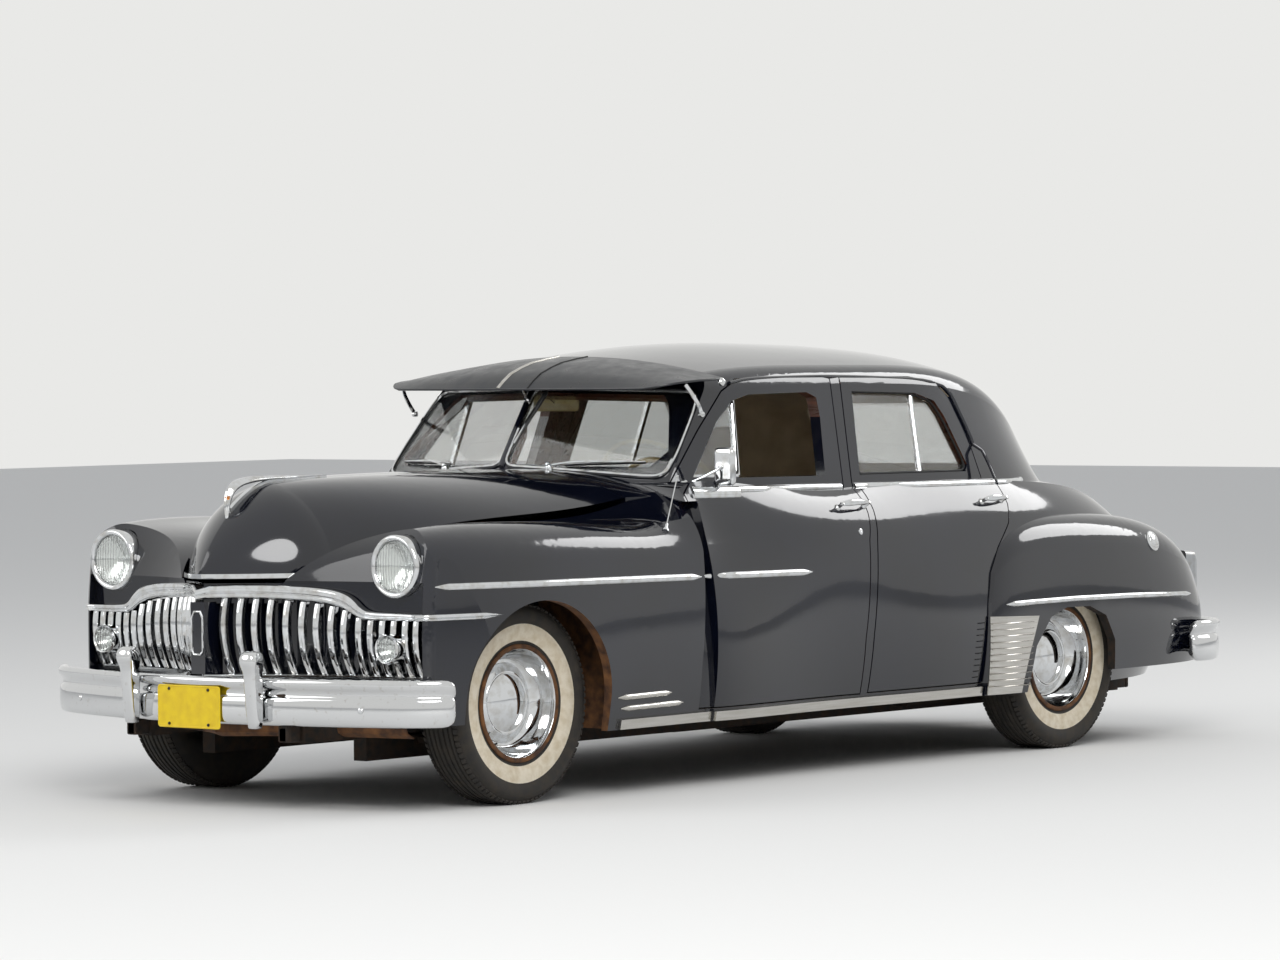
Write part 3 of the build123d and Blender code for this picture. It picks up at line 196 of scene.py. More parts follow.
def woven(name, dark, light, thread_mm):
    """Plain-woven wool cloth: crossed threads of a real width, drawn coarse enough to show."""
    material = finish(name, dark, 0.95, Sheen_Weight=0.35, Sheen_Roughness=0.5)
    tree = material.node_tree
    coords = place(tree, thread_mm)
    warp, weft = [add(tree, "ShaderNodeTexWave", {"Vector": coords, "Scale": 0.5, "Distortion": 0.6},
                      bands_direction=way) for way in ("Y", "DIAGONAL")]
    cross = add(tree, "ShaderNodeMath", {0: warp.outputs["Fac"], 1: weft.outputs["Fac"]},
                operation="MULTIPLY")
    noise = add(tree, "ShaderNodeTexNoise", {"Vector": place(tree, 90), "Scale": 1.0, "Detail": 6.0})
    share = add(tree, "ShaderNodeMath", {0: cross.outputs[0], 1: 0.12, 2: noise.outputs["Fac"]},
                operation="MULTIPLY_ADD")
    color_between(material, share.outputs[0], (dark, light))
    raised(material, cross.outputs[0], 0.6, 0.5)
    return material


seat_cloth = woven("taupe_wool_broadcloth", "7C6650", "B79E80", 3.0)
door_cloth = woven("tan_trim_cloth", "8A7258", "BEA584", 3.0)
head_cloth = woven("fawn_headlining_cloth", "9C8A70", "CDBB9C", 4.0)

# fluted sealed lens: upright prisms 7 mm wide
lens_tree = lens_glass.node_tree
flutes = add(lens_tree, "ShaderNodeTexWave", {"Vector": place(lens_tree, 7), "Scale": 0.16},
             bands_direction="Y", wave_profile="SIN")
raised(lens_glass, flutes.outputs["Fac"], 1.6, 0.8)


# Mesh tools


def plain_mesh(name, verts, faces, marks=None):
    """A mesh from lists, with a material number for each face if marks are given."""
    mesh = bpy.data.meshes.new(name)
    mesh.from_pydata([tuple(v) for v in verts], [], [tuple(f) for f in faces])
    if marks:
        mesh.polygons.foreach_set("material_index", marks)
    return mesh


def linked(name, data):
    """A new object in the scene."""
    item = bpy.data.objects.new(name, data)
    bpy.context.scene.collection.objects.link(item)
    return item


def evaluated(item):
    """A new mesh of an object with its modifiers applied."""
    return bpy.data.meshes.new_from_object(item.evaluated_get(bpy.context.evaluated_depsgraph_get()))


def merge(mesh, outwards=False):
    """Merges corners that lie in one place, and turns the faces outwards if asked."""
    tidy = bmesh.new()
    tidy.from_mesh(mesh)
    bmesh.ops.remove_doubles(tidy, verts=tidy.verts, dist=merge_distance)
    if outwards:
        bmesh.ops.recalc_face_normals(tidy, faces=tidy.faces)
    tidy.to_mesh(mesh)
    tidy.free()


def piece(name, part, materials, sharp=40, stands_for=(), body="body", outwards=True, smooth=True):
    """A finished piece from (verts, faces) lists."""
    return dress(name, plain_mesh(name, *part), body, materials, sharp, stands_for, outwards, smooth)


def dress(name, mesh, body, materials, sharp=40, stands_for=(), outwards=True, smooth=True):
    """Merges, turns outwards, shades and links a mesh, and lets it ride on its body."""
    for material in materials if isinstance(materials, (list, tuple)) else [materials]:
        mesh.materials.append(material)
    merge(mesh, outwards)
    if smooth:
        mesh.shade_smooth()
        mesh.set_sharp_from_angle(angle=radians(sharp))
    item = linked(name, mesh)
    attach(item, body)
    if stands_for:
        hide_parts(stands_for)
    return item


def pair(name, part, door, material, sharp=40, stands_for=None, smooth=True):
    """A piece on a left door, and its mirror image on the right door."""
    for side_name, shape in (("left", part), ("right", mirrored(part))):
        piece(f"{name}_{side_name}", shape, material, sharp, f"{stands_for}_{side_name}"
              if stands_for else (), body=f"{door}_{side_name}_body", smooth=smooth)


def join_lists(parts):
    """Several (verts, faces) lists as one."""
    verts, faces = [], []
    for v, f in parts:
        start = len(verts)
        verts.extend(v)
        faces.extend([[i + start for i in face] for face in f])
    return verts, faces


def grid(rows, closed_across=False, closed_along=False, caps=False):
    """(verts, faces) of a skin over rows of points."""
    count = len(rows[0])
    verts = [p for row in rows for p in row]
    faces = []
    row_pairs = len(rows) if closed_along else len(rows) - 1
    for i in range(row_pairs):
        a, b = i * count, (i + 1) % len(rows) * count
        for j in range(count if closed_across else count - 1):
            k = (j + 1) % count
            faces.append((a + j, a + k, b + k, b + j))
    if caps:
        faces.append(tuple(range(count))[::-1])
        faces.append(tuple(range(len(verts) - count, len(verts))))
    return verts, faces


def solid(rows):
    """A skin closed round its rows of points, with flat ends."""
    return grid(rows, closed_across=True, caps=True)


def turns(count):
    """Angles at equal steps round a full turn."""
    return [2 * pi * i / count for i in range(count)]


def lathe(profile, centre, axis, segments=48):
    """Turns (radius, distance along axis) points in mm about an axis."""
    way = Vector(axis).normalized()
    side = way.cross(Vector((0, 0, 1)) if abs(way.z) < 0.9 else Vector((1, 0, 0))).normalized()
    up = way.cross(side)
    rows = []
    for angle in turns(segments):
        ring = side * cos(angle) + up * sin(angle)
        rows.append([Vector(centre) + ring * (r * mm) + way * (h * mm) for r, h in profile])
    return grid(rows, closed_along=True)


def sweep(path, section, ups, closed=False, caps=True, scales=None):
    """Carries a closed section of (across, up) points in mm along a path with given up directions."""
    rows = []
    last = len(path) - 1
    for i, point in enumerate(path):
        ahead = path[(i + 1) % len(path)] if closed or i < last else path[i]
        behind = path[i - 1] if closed or i > 0 else path[i]
        way = (Vector(ahead) - Vector(behind)).normalized()
        up = Vector(ups[i] if isinstance(ups, list) else ups)
        up = (up - way * up.dot(way)).normalized()
        across = way.cross(up)
        size = mm * scales[i] if scales else mm
        rows.append([Vector(point) + across * (a * size) + up * (u * size) for a, u in section])
    return grid(rows, closed_across=True, closed_along=closed, caps=caps and not closed)


def round_section(radius, count=10):
    """A round section of a radius in mm."""
    return [(radius * cos(angle), radius * sin(angle)) for angle in turns(count)]


def tube(path, radius, count=10, closed=False, scales=None):
    """A round bar of a radius in mm along a path."""
    flat = Vector(path[-1]) - Vector(path[0])
    up = Vector((0, 0, 1)) if abs(flat.normalized().z) < 0.9 or closed else Vector((1, 0, 0))
    return sweep(path, round_section(radius, count), up, closed, scales=scales)


def curve_through(points, steps):
    """Points on a smooth curve through the given points."""
    points = [Vector(p) for p in points]
    ends = [2 * points[0] - points[1]] + points + [2 * points[-1] - points[-2]]
    found = []
    for i in range(1, len(ends) - 2):
        a, b, c, d = ends[i - 1:i + 3]
        for k in range(steps):
            t = k / steps
            found.append(0.5 * (2 * b + (c - a) * t + (2 * a - 5 * b + 4 * c - d) * t * t
                                + (3 * b - a - 3 * c + d) * t ** 3))
    return found + [points[-1]]


def rounded_outline(corners, radius, steps=5, closed=True):
    """An outline in two or three dimensions with its corners rounded off."""
    corners = [Vector(c) for c in corners]
    found = [] if closed else [corners[0]]
    for i in range(len(corners)) if closed else range(1, len(corners) - 1):
        a, b, c = corners[i - 1], corners[i], corners[(i + 1) % len(corners)]
        start = b + (a - b).normalized() * min(radius, (a - b).length * 0.49)
        end = b + (c - b).normalized() * min(radius, (c - b).length * 0.49)
        for k in range(steps + 1):
            t = k / steps
            found.append(start * (1 - t) ** 2 + b * (2 * t * (1 - t)) + end * t ** 2)
    return found if closed else found + [corners[-1]]


def dense(points, step, closed=True):
    """Points added along an outline so that none are further apart than step."""
    found = []
    for a, b in zip(points, points[1:] + points[:1] if closed else points[1:]):
        count = max(1, ceil((b - a).length / step))
        found += [a.lerp(b, i / count) for i in range(count)]
    return found if closed else found + [points[-1]]


def read_off(table, at):
    """A value read off a table of (place, value) by straight lines."""
    for (p, v), (q, w) in zip(table, table[1:]):
        if at <= q:
            return v + (w - v) * (at - p) / (q - p)
    return table[-1][1]


def upright_corners(x, y, z, half_wide, half_tall):
    """The corners of an upright rectangle that looks along the car."""
    return [(x, y + sy * half_wide, z + sz * half_tall) for sy, sz in ((-1, -1), (1, -1), (1, 1), (-1, 1))]


def plate(outline, out, thickness):
    """A flat sheet between an outline and its copy, thickness behind it."""
    count = len(outline)
    back = [p - out * thickness for p in outline]
    faces = [tuple(range(count)), tuple(range(2 * count - 1, count - 1, -1))]
    faces += [(i, count + i, count + (i + 1) % count, (i + 1) % count) for i in range(count)]
    return list(outline) + back, faces


def mirrored(part):
    """(verts, faces) on the other side of the car."""
    verts, faces = part
    return [Vector((v[0], -v[1], v[2])) for v in verts], [list(f)[::-1] for f in faces]


def both(part):
    """A part and its mirror image as one."""
    return join_lists([part, mirrored(part)])


def rounded_box(low, high, radius, steps=3):
    """A box with rounded upright and level edges."""
    mesh = bmesh.new()
    bmesh.ops.create_cube(mesh, size=1)
    low, high = Vector(low), Vector(high)
    for v in mesh.verts:
        v.co = Vector([low[k] + (v.co[k] + 0.5) * (high[k] - low[k]) for k in range(3)])
    bmesh.ops.bevel(mesh, geom=mesh.edges[:], offset=radius, segments=steps, affect="EDGES", profile=0.5)
    verts = [v.co.copy() for v in mesh.verts]
    faces = [[v.index for v in f.verts] for f in mesh.faces]
    mesh.free()
    return verts, faces


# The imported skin, to lay trims on

trees = {}


def skin_tree(name):
    """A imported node's faces, sorted for ray casts."""
    if name not in trees:
        mesh = nodes[name].data
        trees[name] = BVHTree.FromPolygons([v.co for v in mesh.vertices], [p.vertices for p in mesh.polygons])
    return trees[name]


beside_car, above_car, behind_car = 1.4, 2.2, -3.0


def outermost(names, start, way, reach):
    """The first skin point met from outside, and its outward normal."""
    best = None
    for name in names:
        point, normal, _, _ = skin_tree(name).ray_cast(start, way, reach)
        if point is not None and (best is None or (point - best[0]).dot(way) < 0):
            best = (point, normal if normal.dot(way) < 0 else -normal)
    return best


def on_side(names, x, z):
    """The outermost skin point at x and z on the left, and its outward normal."""
    return outermost(names, Vector((x, beside_car, z)), Vector((0, -1, 0)), 1.2)


def on_top(names, x, y):
    """The highest skin point at x and y, and its normal."""
    return outermost(names, Vector((x, y, above_car)), Vector((0, 0, -1)), 2.0)


def on_back(names, y, z):
    """The rearmost skin point at y and z, and its outward normal."""
    return outermost(names, Vector((behind_car, y, z)), Vector((1, 0, 0)), 3.0)


moulding_step = 0.02
evened_points = 6
narrow_end = 0.12


def strip(names, stations, section, lift, taper):
    """A moulding laid on the left side's skin along (x, z) stations, with its small ripples evened out."""
    hits = []
    for p in dense([Vector((x, 0, z)) for x, z in stations], moulding_step, closed=False):
        hit = on_side(names, p.x, p.z)
        if hit:
            hits.append((Vector((p.x, hit[0].y, p.z)), hit[1]))
    up = sum((h[1] for h in hits), Vector()).normalized()
    path = []
    for i, (point, _) in enumerate(hits):
        reach = min(evened_points, i, len(hits) - 1 - i)
        near = [h[0].y for h in hits[i - reach:i + reach + 1]]
        path.append(Vector((point.x, sum(near) / len(near), point.z)) + up * lift)
    scales = None
    if taper:
        last = len(path) - 1
        scales = [min(1, narrow_end + i / taper, narrow_end + (last - i) / taper) for i in range(len(path))]
    return sweep(path, section, up, scales=scales)


moulding_foot = 2


def half_round(width, height, points=7):
    """A section of a moulding in mm: flat on the skin, domed outside."""
    dome = [(width / 2 * cos(pi * i / (points - 1)), height * sin(pi * i / (points - 1)))
            for i in range(points)]
    return [(width / 2, -moulding_foot)] + dome + [(-width / 2, -moulding_foot)]


# Painted panels

ray_start_depth = 4e-4
thickest_panel = 0.22


def inner_side(tree, center, normal, reference):
    """True if a face of a thick panel looks towards the cabin or the wheel."""
    hit = tree.ray_cast(center - normal * ray_start_depth, -normal, thickest_panel)[0]
    if hit is None:
        return False
    return (center - reference).length < (hit - reference).length


def exact_copy(name):
    """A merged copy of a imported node's mesh that keeps the exact normals of its surfaces."""
    mesh = nodes[name].data.copy()
    mesh.materials.clear()
    kept = mesh.attributes.new("kept", "FLOAT_VECTOR", "CORNER")
    kept.data.foreach_set("vector", [c for n in mesh.corner_normals for c in n.vector])
    merge(mesh)
    mesh.normals_split_custom_set([tuple(v.vector) for v in mesh.attributes["kept"].data])
    mesh.attributes.remove(mesh.attributes["kept"])
    mesh.polygons.foreach_set("material_index", [0] * len(mesh.polygons))
    return mesh


arch_reach = 0.60
fender_lining_y, fender_lining_x = 0.80, 2.12
cabin_rear_x, cabin_front_x = -2.15, 0.5
garnish_low_z, garnish_high_z = 1.02, 1.46
middle_pillar_x = (-0.30, -0.05)
front_pillar_x = 0.40
carpet_top_z = 0.50
underside_top_z = 0.32
towards_axle = 0.45
inside_fender_y, inside_fender_z = 0.62, 0.45
engine_bay_z, cabin_z = 0.6, 0.85


def panel(name, outside, inside=None, below=None, garnish=None, carpeted=None):
    """A copy of a packed pressing, with finishes for its lining, underside, garnish mouldings and carpet."""
    mesh = exact_copy(name)
    for material in (outside, inside or outside, below or inside or outside, garnish or outside,
                     carpeted or outside):
        mesh.materials.append(material)
    item = linked(name + "_panel", mesh)
    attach(item, body_of_node[name])
    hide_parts(name)
    if inside is None:
        return
    tree = skin_tree(name)
    for face in mesh.polygons:
        c = face.center
        if "fender" in name:
            axle = front_axle if "front" in name else rear_axle
            to_axle = Vector((axle.x - c.x, 0, axle.z - c.z))
            away = to_axle.length
            faces_wheel = face.normal.dot(to_axle) > towards_axle * away and away < arch_reach
            side = copysign(1, c.y)
            tucked = (face.normal.y * side < 0.3 and face.normal.z < 0.2
                      and abs(c.y) < fender_lining_y and c.x < fender_lining_x)
            reference = Vector((c.x * 0.98, inside_fender_y * side, inside_fender_z))
            if faces_wheel or (tucked and inner_side(tree, c, face.normal, reference)):
                face.material_index = 1
            continue
        height = engine_bay_z if "hood" in name else cabin_z
        reference = Vector((min(cabin_front_x, max(cabin_rear_x, c.x)), 0, height))
        if inner_side(tree, c, face.normal, reference):
            face.material_index = 1
            on_frame = "door" in name or middle_pillar_x[0] < c.x < middle_pillar_x[1] or c.x > front_pillar_x
            if garnish and garnish_low_z < c.z < garnish_high_z and on_frame:
                face.material_index = 3
            if carpeted and c.z < carpet_top_z:
                face.material_index = 4
        elif below and c.z < underside_top_z and face.normal.z < -0.5:
            face.material_index = 2


panel("body_shell", enamel, head_cloth, underseal, dash_enamel, carpet)
for name in ("front_door_left", "rear_door_left", "front_door_right", "rear_door_right"):
    panel(name, enamel, door_cloth, door_cloth, dash_enamel)
for name, lining in (("boot_lid", underseal), ("front_fenders", rust), ("rear_fenders", underseal),
                     ("hood", underseal)):
    panel(name, enamel, lining)
# the nodes that have one finish all over
plain_panels = [(enamel, ["grille_panel"]), (chrome, ["grille_teeth", "hood_trim", "tail_lamps"]),
                (stainless, ["sill_trim"]),
                (underseal, ["chassis_frame", "rear_axle", "front_suspension", "fuel_tank"]),
                (rust, ["exhaust"]), (cast, ["knuckle_left", "knuckle_right"]), (engine_enamel, ["engine"]),
                (cream_plastic, ["steering_column"]), (dash_enamel, ["dashboard"])]
for material, names in plain_panels:
    for name in names:
        panel(name, material)

# Wheels and tyres: (radius, distance outwards from the wheel's middle) in mm

outer_wall = [(209, 69.5), (213, 73), (217, 73.6), (221, 75)]
white_band = [(221, 75), (226, 77.5), (240, 82.5), (256, 86), (272, 86.6), (281, 85.6)]
upper_wall = [(281, 85.6), (284, 87), (287, 88.4), (294, 92), (304, 94.6), (316, 95.4), (326, 93), (334, 88),
              (338, 83)]
tread_half = [(338, 83), (343, 79), (348.5, 73), (351, 68), (345, 65.5), (345, 62.5), (352, 60), (353.4, 48),
              (347, 45.5), (347, 42.5), (354, 40), (354.8, 26), (348.5, 23.5), (348.5, 20.5), (354.9, 18),
              (355, 6), (349, 3.5)]


def ringed(profiles, numbers, centre, side):
    """Rings turned about a wheel's axis, and the material number of each of their faces."""
    rings = [lathe([(r, side * y) for r, y in profile], centre, (0, 1, 0), 96) for profile in profiles]
    marks = [number for (_, faces), number in zip(rings, numbers) for _ in faces]
    return *join_lists(rings), marks


def tyre(name, centre, side, body):
    """A cross-ply tyre: cream band on its outer wall, ribbed tread, closed at the rim."""
    tread = tread_half + [(349, -3.5)] + [(r, -y) for r, y in reversed(tread_half[:-1])]
    inner_wall = [(338, -83), (326, -93), (304, -96), (272, -97), (240, -90), (221, -79), (209, -69.5),
                  (190.4, -66), (190.4, 66)]
    profiles = ([(190.4, 66)] + outer_wall, white_band, upper_wall, tread, inner_wall)
    mesh = plain_mesh(name, *ringed(profiles, (0, 1, 0, 0, 0), centre, side))
    dress(name, mesh, body, [rubber, white_wall], 38, name.replace("_casing", ""))


cap_profile = [(0, 32.6), (14, 32.4), (30, 31.4), (48, 29.2), (66, 25.8), (82, 21.6), (96, 16.8), (102, 14),
               (105, 14.4), (108, 15.6), (112, 15), (115, 12), (124, 6.5), (133, 0), (139, -6), (141, -12)]
ring_profile = [(141, -12), (147, -13), (152, -12), (158, -8), (165, 2), (173, 16), (179, 30), (183, 44),
                (186, 56), (189, 68), (192, 75)]
rusty_lip = [(192, 75), (196, 78), (201, 79), (206, 78), (209, 75), (209, 70), (200, 68)]
back_profile = [(200, 68), (190, 66), (190, -66), (209, -70), (209, -75), (186, -73), (181, -40), (174, -8),
                (164, -26), (150, -30), (60, -26), (34, -24), (0, -24)]


def wheel(name, centre, side, body):
    """Pressed wheel with a stepped dome cap, trim ring and rusty flange."""
    profiles = (cap_profile, ring_profile, rusty_lip, back_profile)
    mesh = plain_mesh(name, *ringed(profiles, (0, 0, 1, 2), centre, side))
    dress(name + "_disc", mesh, body, [chrome, rust, underseal], 30, name)
    angle = radians(-62)
    out = Vector((cos(angle), 0, sin(angle)))
    base = centre + out * 0.160 + Vector((0, side * 0.002, 0))
    stem = tube([base, base + Vector((0, side * 0.022, 0)),
                 base + Vector((0, side * 0.030, 0)) - out * 0.004], 3.5, 8)
    piece(name + "_valve", stem, seal_rubber, body=body)


wheels = [(end, side_name, side, axle + Vector((0, side * track / 2, 0)), f"{end}_wheel_{side_name}_body")
          for end, axle, track in (("front", front_axle, front_track), ("rear", rear_axle, rear_track))
          for side_name, side in (("left", 1), ("right", -1))]
for end, side_name, side, centre, body in wheels:
    tyre(f"{end}_tyre_{side_name}_casing", centre, side, body)
    wheel(f"{end}_wheel_{side_name}", centre, side, body)

# Lamps

for label, spot, radius, rim, body_depth in (("headlamp", headlamp, 110, 20, 70),
                                             ("parking_lamp", parking_lamp, 52, 9, 100)):
    back = radius - rim
    shell_profile = [(0, -body_depth), (radius - 6, -body_depth), (radius - 1, -body_depth + 6),
                     (radius, -18), (radius, -9), (radius - 3, -3), (radius - rim * 0.4, -0.3),
                     (radius - rim * 0.75, -2), (back, -7), (back - 0.6, -16)]
    bowl_profile = [(back - 0.6, -16), (back * 0.8, -30), (back * 0.5, -46), (back * 0.18, -56), (0, -58)]
    dome = [(back - 1.5, -13), (back * 0.85, -10), (back * 0.6, -6.5), (back * 0.3, -4.5), (0, -4)]
    inner_dome = [(0, -7.5), (back * 0.3, -8), (back * 0.6, -10), (back * 0.85, -13.5), (back - 1.5, -16)]
    bulb_profile = [(0, -30), (5, -31), (8, -36), (8, -42), (5, -48), (4, -56)]
    rims, bowls, lenses, bulbs = [
        join_lists([lathe(profile, (spot.x, side * spot.y, spot.z), (1, 0, 0), segments) for side in (1, -1)])
        for profile, segments in ((shell_profile, 64), (bowl_profile, 64), (dome + inner_dome + dome[:1], 64),
                                  (bulb_profile, 16))]
    piece(label + "_rims", rims, chrome, 50, "lamp_rims")
    piece(label + "_bowls", bowls, silvering, outwards=False)
    piece(label + "_lenses", lenses, lens_glass, 60, "lamp_lenses")
    piece(label + "_bulbs", bulbs, silvering)

# Bright mouldings on the sides


def side_strips(label, node, stations, section, material=chrome, taper=0):
    """The same moulding on the left and right, each on the body that its panel rides on."""
    left = strip([node], stations, section, 0.0005, taper)
    if body_of_node[node] == "body":
        piece(label, both(left), material)
    else:
        pair(label, left, node.replace("_left", ""), material)


belt = half_round(26, 9)
side_strips("belt_strip_front_door", "front_door_left",
            [(0.806, 1.078), (0.5, 1.075), (0.2, 1.071), (-0.150, 1.066)], belt)
side_strips("belt_strip_rear_door", "rear_door_left",
            [(-0.212, 1.0665), (-0.6, 1.064), (-1.055, 1.061)], belt)
side_strips("belt_strip_quarter", "body_shell", [(-1.078, 1.0607), (-1.25, 1.060), (-1.366, 1.062)], belt)
side_strips("belt_end_plate", "front_door_left", [(0.815, 1.070), (0.55, 1.066)], half_round(46, 12))
spear = half_round(26, 11)
side_strips("fender_spear", "front_fenders",
            [(2.240, 0.785), (2.0, 0.783), (1.6, 0.778), (1.2, 0.773), (0.872, 0.768)], spear, taper=3)
side_strips("door_spear", "front_door_left", [(0.838, 0.768), (0.5, 0.764), (0.227, 0.761)], spear, taper=3)
side_strips("rear_spear", "rear_fenders", [(-0.950, 0.589), (-1.10, 0.592), (-1.4, 0.594), (-1.8, 0.590),
                                           (-2.274, 0.577)], half_round(22, 10), taper=3)
for number, (x0, x1, z) in enumerate(((1.352, 1.040, 0.356), (1.330, 0.965, 0.316))):
    side_strips(f"short_spear_{number + 1}", "front_fenders", [(x0, z), (x1, z + 0.003)],
                half_round(20, 10), stainless, taper=2)

# Window frames, handles and small fittings

vent_window = [(0.690, 1.118), (0.505, 1.322), (0.400, 1.398), (0.375, 1.4035), (0.430, 1.1152)]
rear_window = [(-0.262, 1.108), (-0.318, 1.424), (-0.713, 1.412), (-0.832, 1.380), (-0.880, 1.320),
               (-0.968, 1.130), (-0.950, 1.104)]


def pane_plane(name, outline):
    """A flat plane through the middle of a side glass: a point on it and its outward normal."""
    spots = [hit[0] for hit in (on_side([name], x, z) for x, z in outline) if hit]
    middle = sum(spots, Vector()) / len(spots)
    wide = max(spots, key=lambda p: p.x) - min(spots, key=lambda p: p.x)
    tall = max(spots, key=lambda p: p.z) - min(spots, key=lambda p: p.z)
    normal = wide.cross(tall).normalized()
    return middle, normal if normal.y > 0 else -normal


def inset(outline, amount):
    """An outline of (x, z) corners drawn in towards its middle by amount."""
    middle = [sum(c[k] for c in outline) / len(outline) for k in (0, 1)]
    return [tuple(v - copysign(min(amount, abs(v - m)), v - m) for v, m in zip(corner, middle))
            for corner in outline]


front_plane = pane_plane("front_glass_left", inset(vent_window, 0.02))
rear_plane = pane_plane("rear_glass_left", inset(rear_window, 0.03))


def on_pane(plane, x, z, lift=0.0):
    """The point of a side pane at x and z."""
    middle, normal = plane
    y = middle.y - (normal.x * (x - middle.x) + normal.z * (z - middle.z)) / normal.y
    return Vector((x, y, z)) + normal * lift


for label, door, outline, plane in (("front", "front_door", vent_window, front_plane),
                                    ("rear", "rear_door", rear_window, rear_plane)):
    corners = [on_pane(plane, x, z) for x, z in inset(outline, -0.006)]
    pane = plate(rounded_outline(corners, 0.02), plane[1], 0.005)
    pair(label + "_pane", pane, door, window_pane, 20, label + "_glass", smooth=False)
    rubber_path = [on_pane(plane, x, z, 0.004) for x, z in inset(outline, 0.002)]
    seal = sweep(rounded_outline(rubber_path, 0.03), round_section(5, 8), plane[1], closed=True)
    pair(label + "_window_seal", seal, door, seal_rubber)


def glass_point(x, z):
    """The middle of the side glass line at x and z, on the left, and its outward normal."""
    plane = front_plane if x > -0.1 else rear_plane
    return on_pane(plane, x, z, -0.0025), plane[1]


def bar_between(a, b, section, count=8, outset=0.0):
    """A straight bar in the glass line between two (x, z) points, on the left."""
    path, ups = [], []
    for i in range(count + 1):
        x = a[0] + (b[0] - a[0]) * i / count
        z = a[1] + (b[1] - a[1]) * i / count
        point, normal = glass_point(x, z)
        path.append(point + normal * outset)
        ups.append(normal)
    return sweep(path, section, ups)


channel = [(-9, -10), (9, -10), (9, 6), (5, 10), (-5, 10), (-9, 6)]
vent_parts = [bar_between((0.428, 1.122), (0.377, 1.398), channel)]
for a, b in (((0.676, 1.126), (0.512, 1.310)), ((0.512, 1.310), (0.404, 1.390)),
             ((0.676, 1.124), (0.436, 1.121))):
    vent_parts.append(bar_between(a, b, [(u * 0.8, v * 0.8) for u, v in channel], outset=0.007))
catch = glass_point(0.452, 1.165)[0]
vent_parts.append(tube([catch + Vector((0, -0.004, 0)), catch + Vector((0, -0.016, 0)),
                        catch + Vector((0.03, -0.018, -0.002))], 4, 8))
pair("vent_frame", join_lists(vent_parts), "front_door", chrome)
pair("rear_glass_divider", bar_between((-0.670, 1.108), (-0.713, 1.408), channel), "rear_door", chrome)


handle_rise, handle_swell = 0.030, 0.008


def door_handle(x0, x1, z, names):
    """A pull handle: two posts with round escutcheons and a tapering grip."""
    posts = [on_side(names, x, z) for x in (x0, x1)]
    grip = []
    for i in range(13):
        t = i / 12
        base = posts[0][0].lerp(posts[1][0], t)
        swell = handle_rise + handle_swell * sin(pi * t)
        end_shift = 0.012 if i == 0 else -0.012 if i == 12 else 0
        grip.append(base + posts[0][1] * swell + Vector((end_shift, 0, 0)))
    scales = [0.6, 0.95, 1.15, 1.25, 1.25, 1.2, 1.15, 1.1, 1.0, 0.9, 0.8, 0.66, 0.4]
    oval = [(6 * cos(angle), 10 * sin(angle)) for angle in turns(12)]
    parts = [sweep(grip, oval, Vector((0, 0, 1)), scales=scales)]
    for (hit, normal), radius in zip(posts, (13, 11)):
        parts.append(lathe([(0, -4), (radius, -4), (radius, 2), (radius * 0.8, 6), (7, 9), (6.5, 34),
                            (0, 36)], hit, normal, 24))
    return join_lists(parts)


for label, span, z in (("front_door", (0.012, -0.150), 0.992), ("rear_door", (-0.910, -1.045), 0.988)):
    pair(label + "_handle", door_handle(*span, z, [label + "_left"]), label, chrome)
hit, normal = on_side(["front_door_left"], -0.083, 0.900)
lock = lathe([(0, -3), (12, -3), (12, 2), (9, 4), (4, 4), (4, 2), (0, 2)], hit, normal, 20)
pair("door_lock", lock, "front_door", chrome)
hit, normal = on_side(["rear_fenders"], -1.985, 0.800)
cap = lathe([(0, -4), (40, -4), (42, 2), (38, 7), (30, 9), (28, 12), (18, 15), (0, 16)], hit, normal, 32)
piece("fuel_filler_cap", cap, chrome)
hit, normal = on_top(["front_fenders", "body_shell"], 1.008, 0.850)
rod_top = Vector((0.865, 0.790, 1.130))
way = (rod_top - hit).normalized()
aerial = join_lists([lathe([(0, -4), (13, -3), (12, 4), (8, 12), (5, 30), (0, 32)], hit, way, 20),
                     tube([hit + way * 0.02, hit.lerp(rod_top, 0.5), rod_top], 2.2, 8),
                     lathe([(0, -4), (4, -3), (4.8, 0), (4, 3), (0, 5)], rod_top, way, 12)])
piece("radio_aerial", aerial, chrome)

# Windshield surround, wipers and visor fittings

foot_centre = Vector((0.942, 0, 1.150))
along_foot = (Vector((0.792, 0.686, 1.133)) - foot_centre).normalized()
screen_out = along_foot.cross(Vector((0.700, 0, 1.430)) - foot_centre).normalized()
if screen_out.x < 0:
    screen_out = -screen_out
up_screen = screen_out.cross(along_foot)
if up_screen.z < 0:
    up_screen = -up_screen
pane_corners = [(0.014, 0.016), (0.300, 0.003), (0.600, -0.014), (0.690, -0.012), (0.704, 0.100),
                (0.704, 0.300), (0.690, 0.390), (0.014, 0.392)]


def on_screen(u, v, lift=0.0):
    """A point of the left windshield plane: u along its foot from the middle, v up it."""
    return foot_centre + along_foot * u + up_screen * v + screen_out * lift


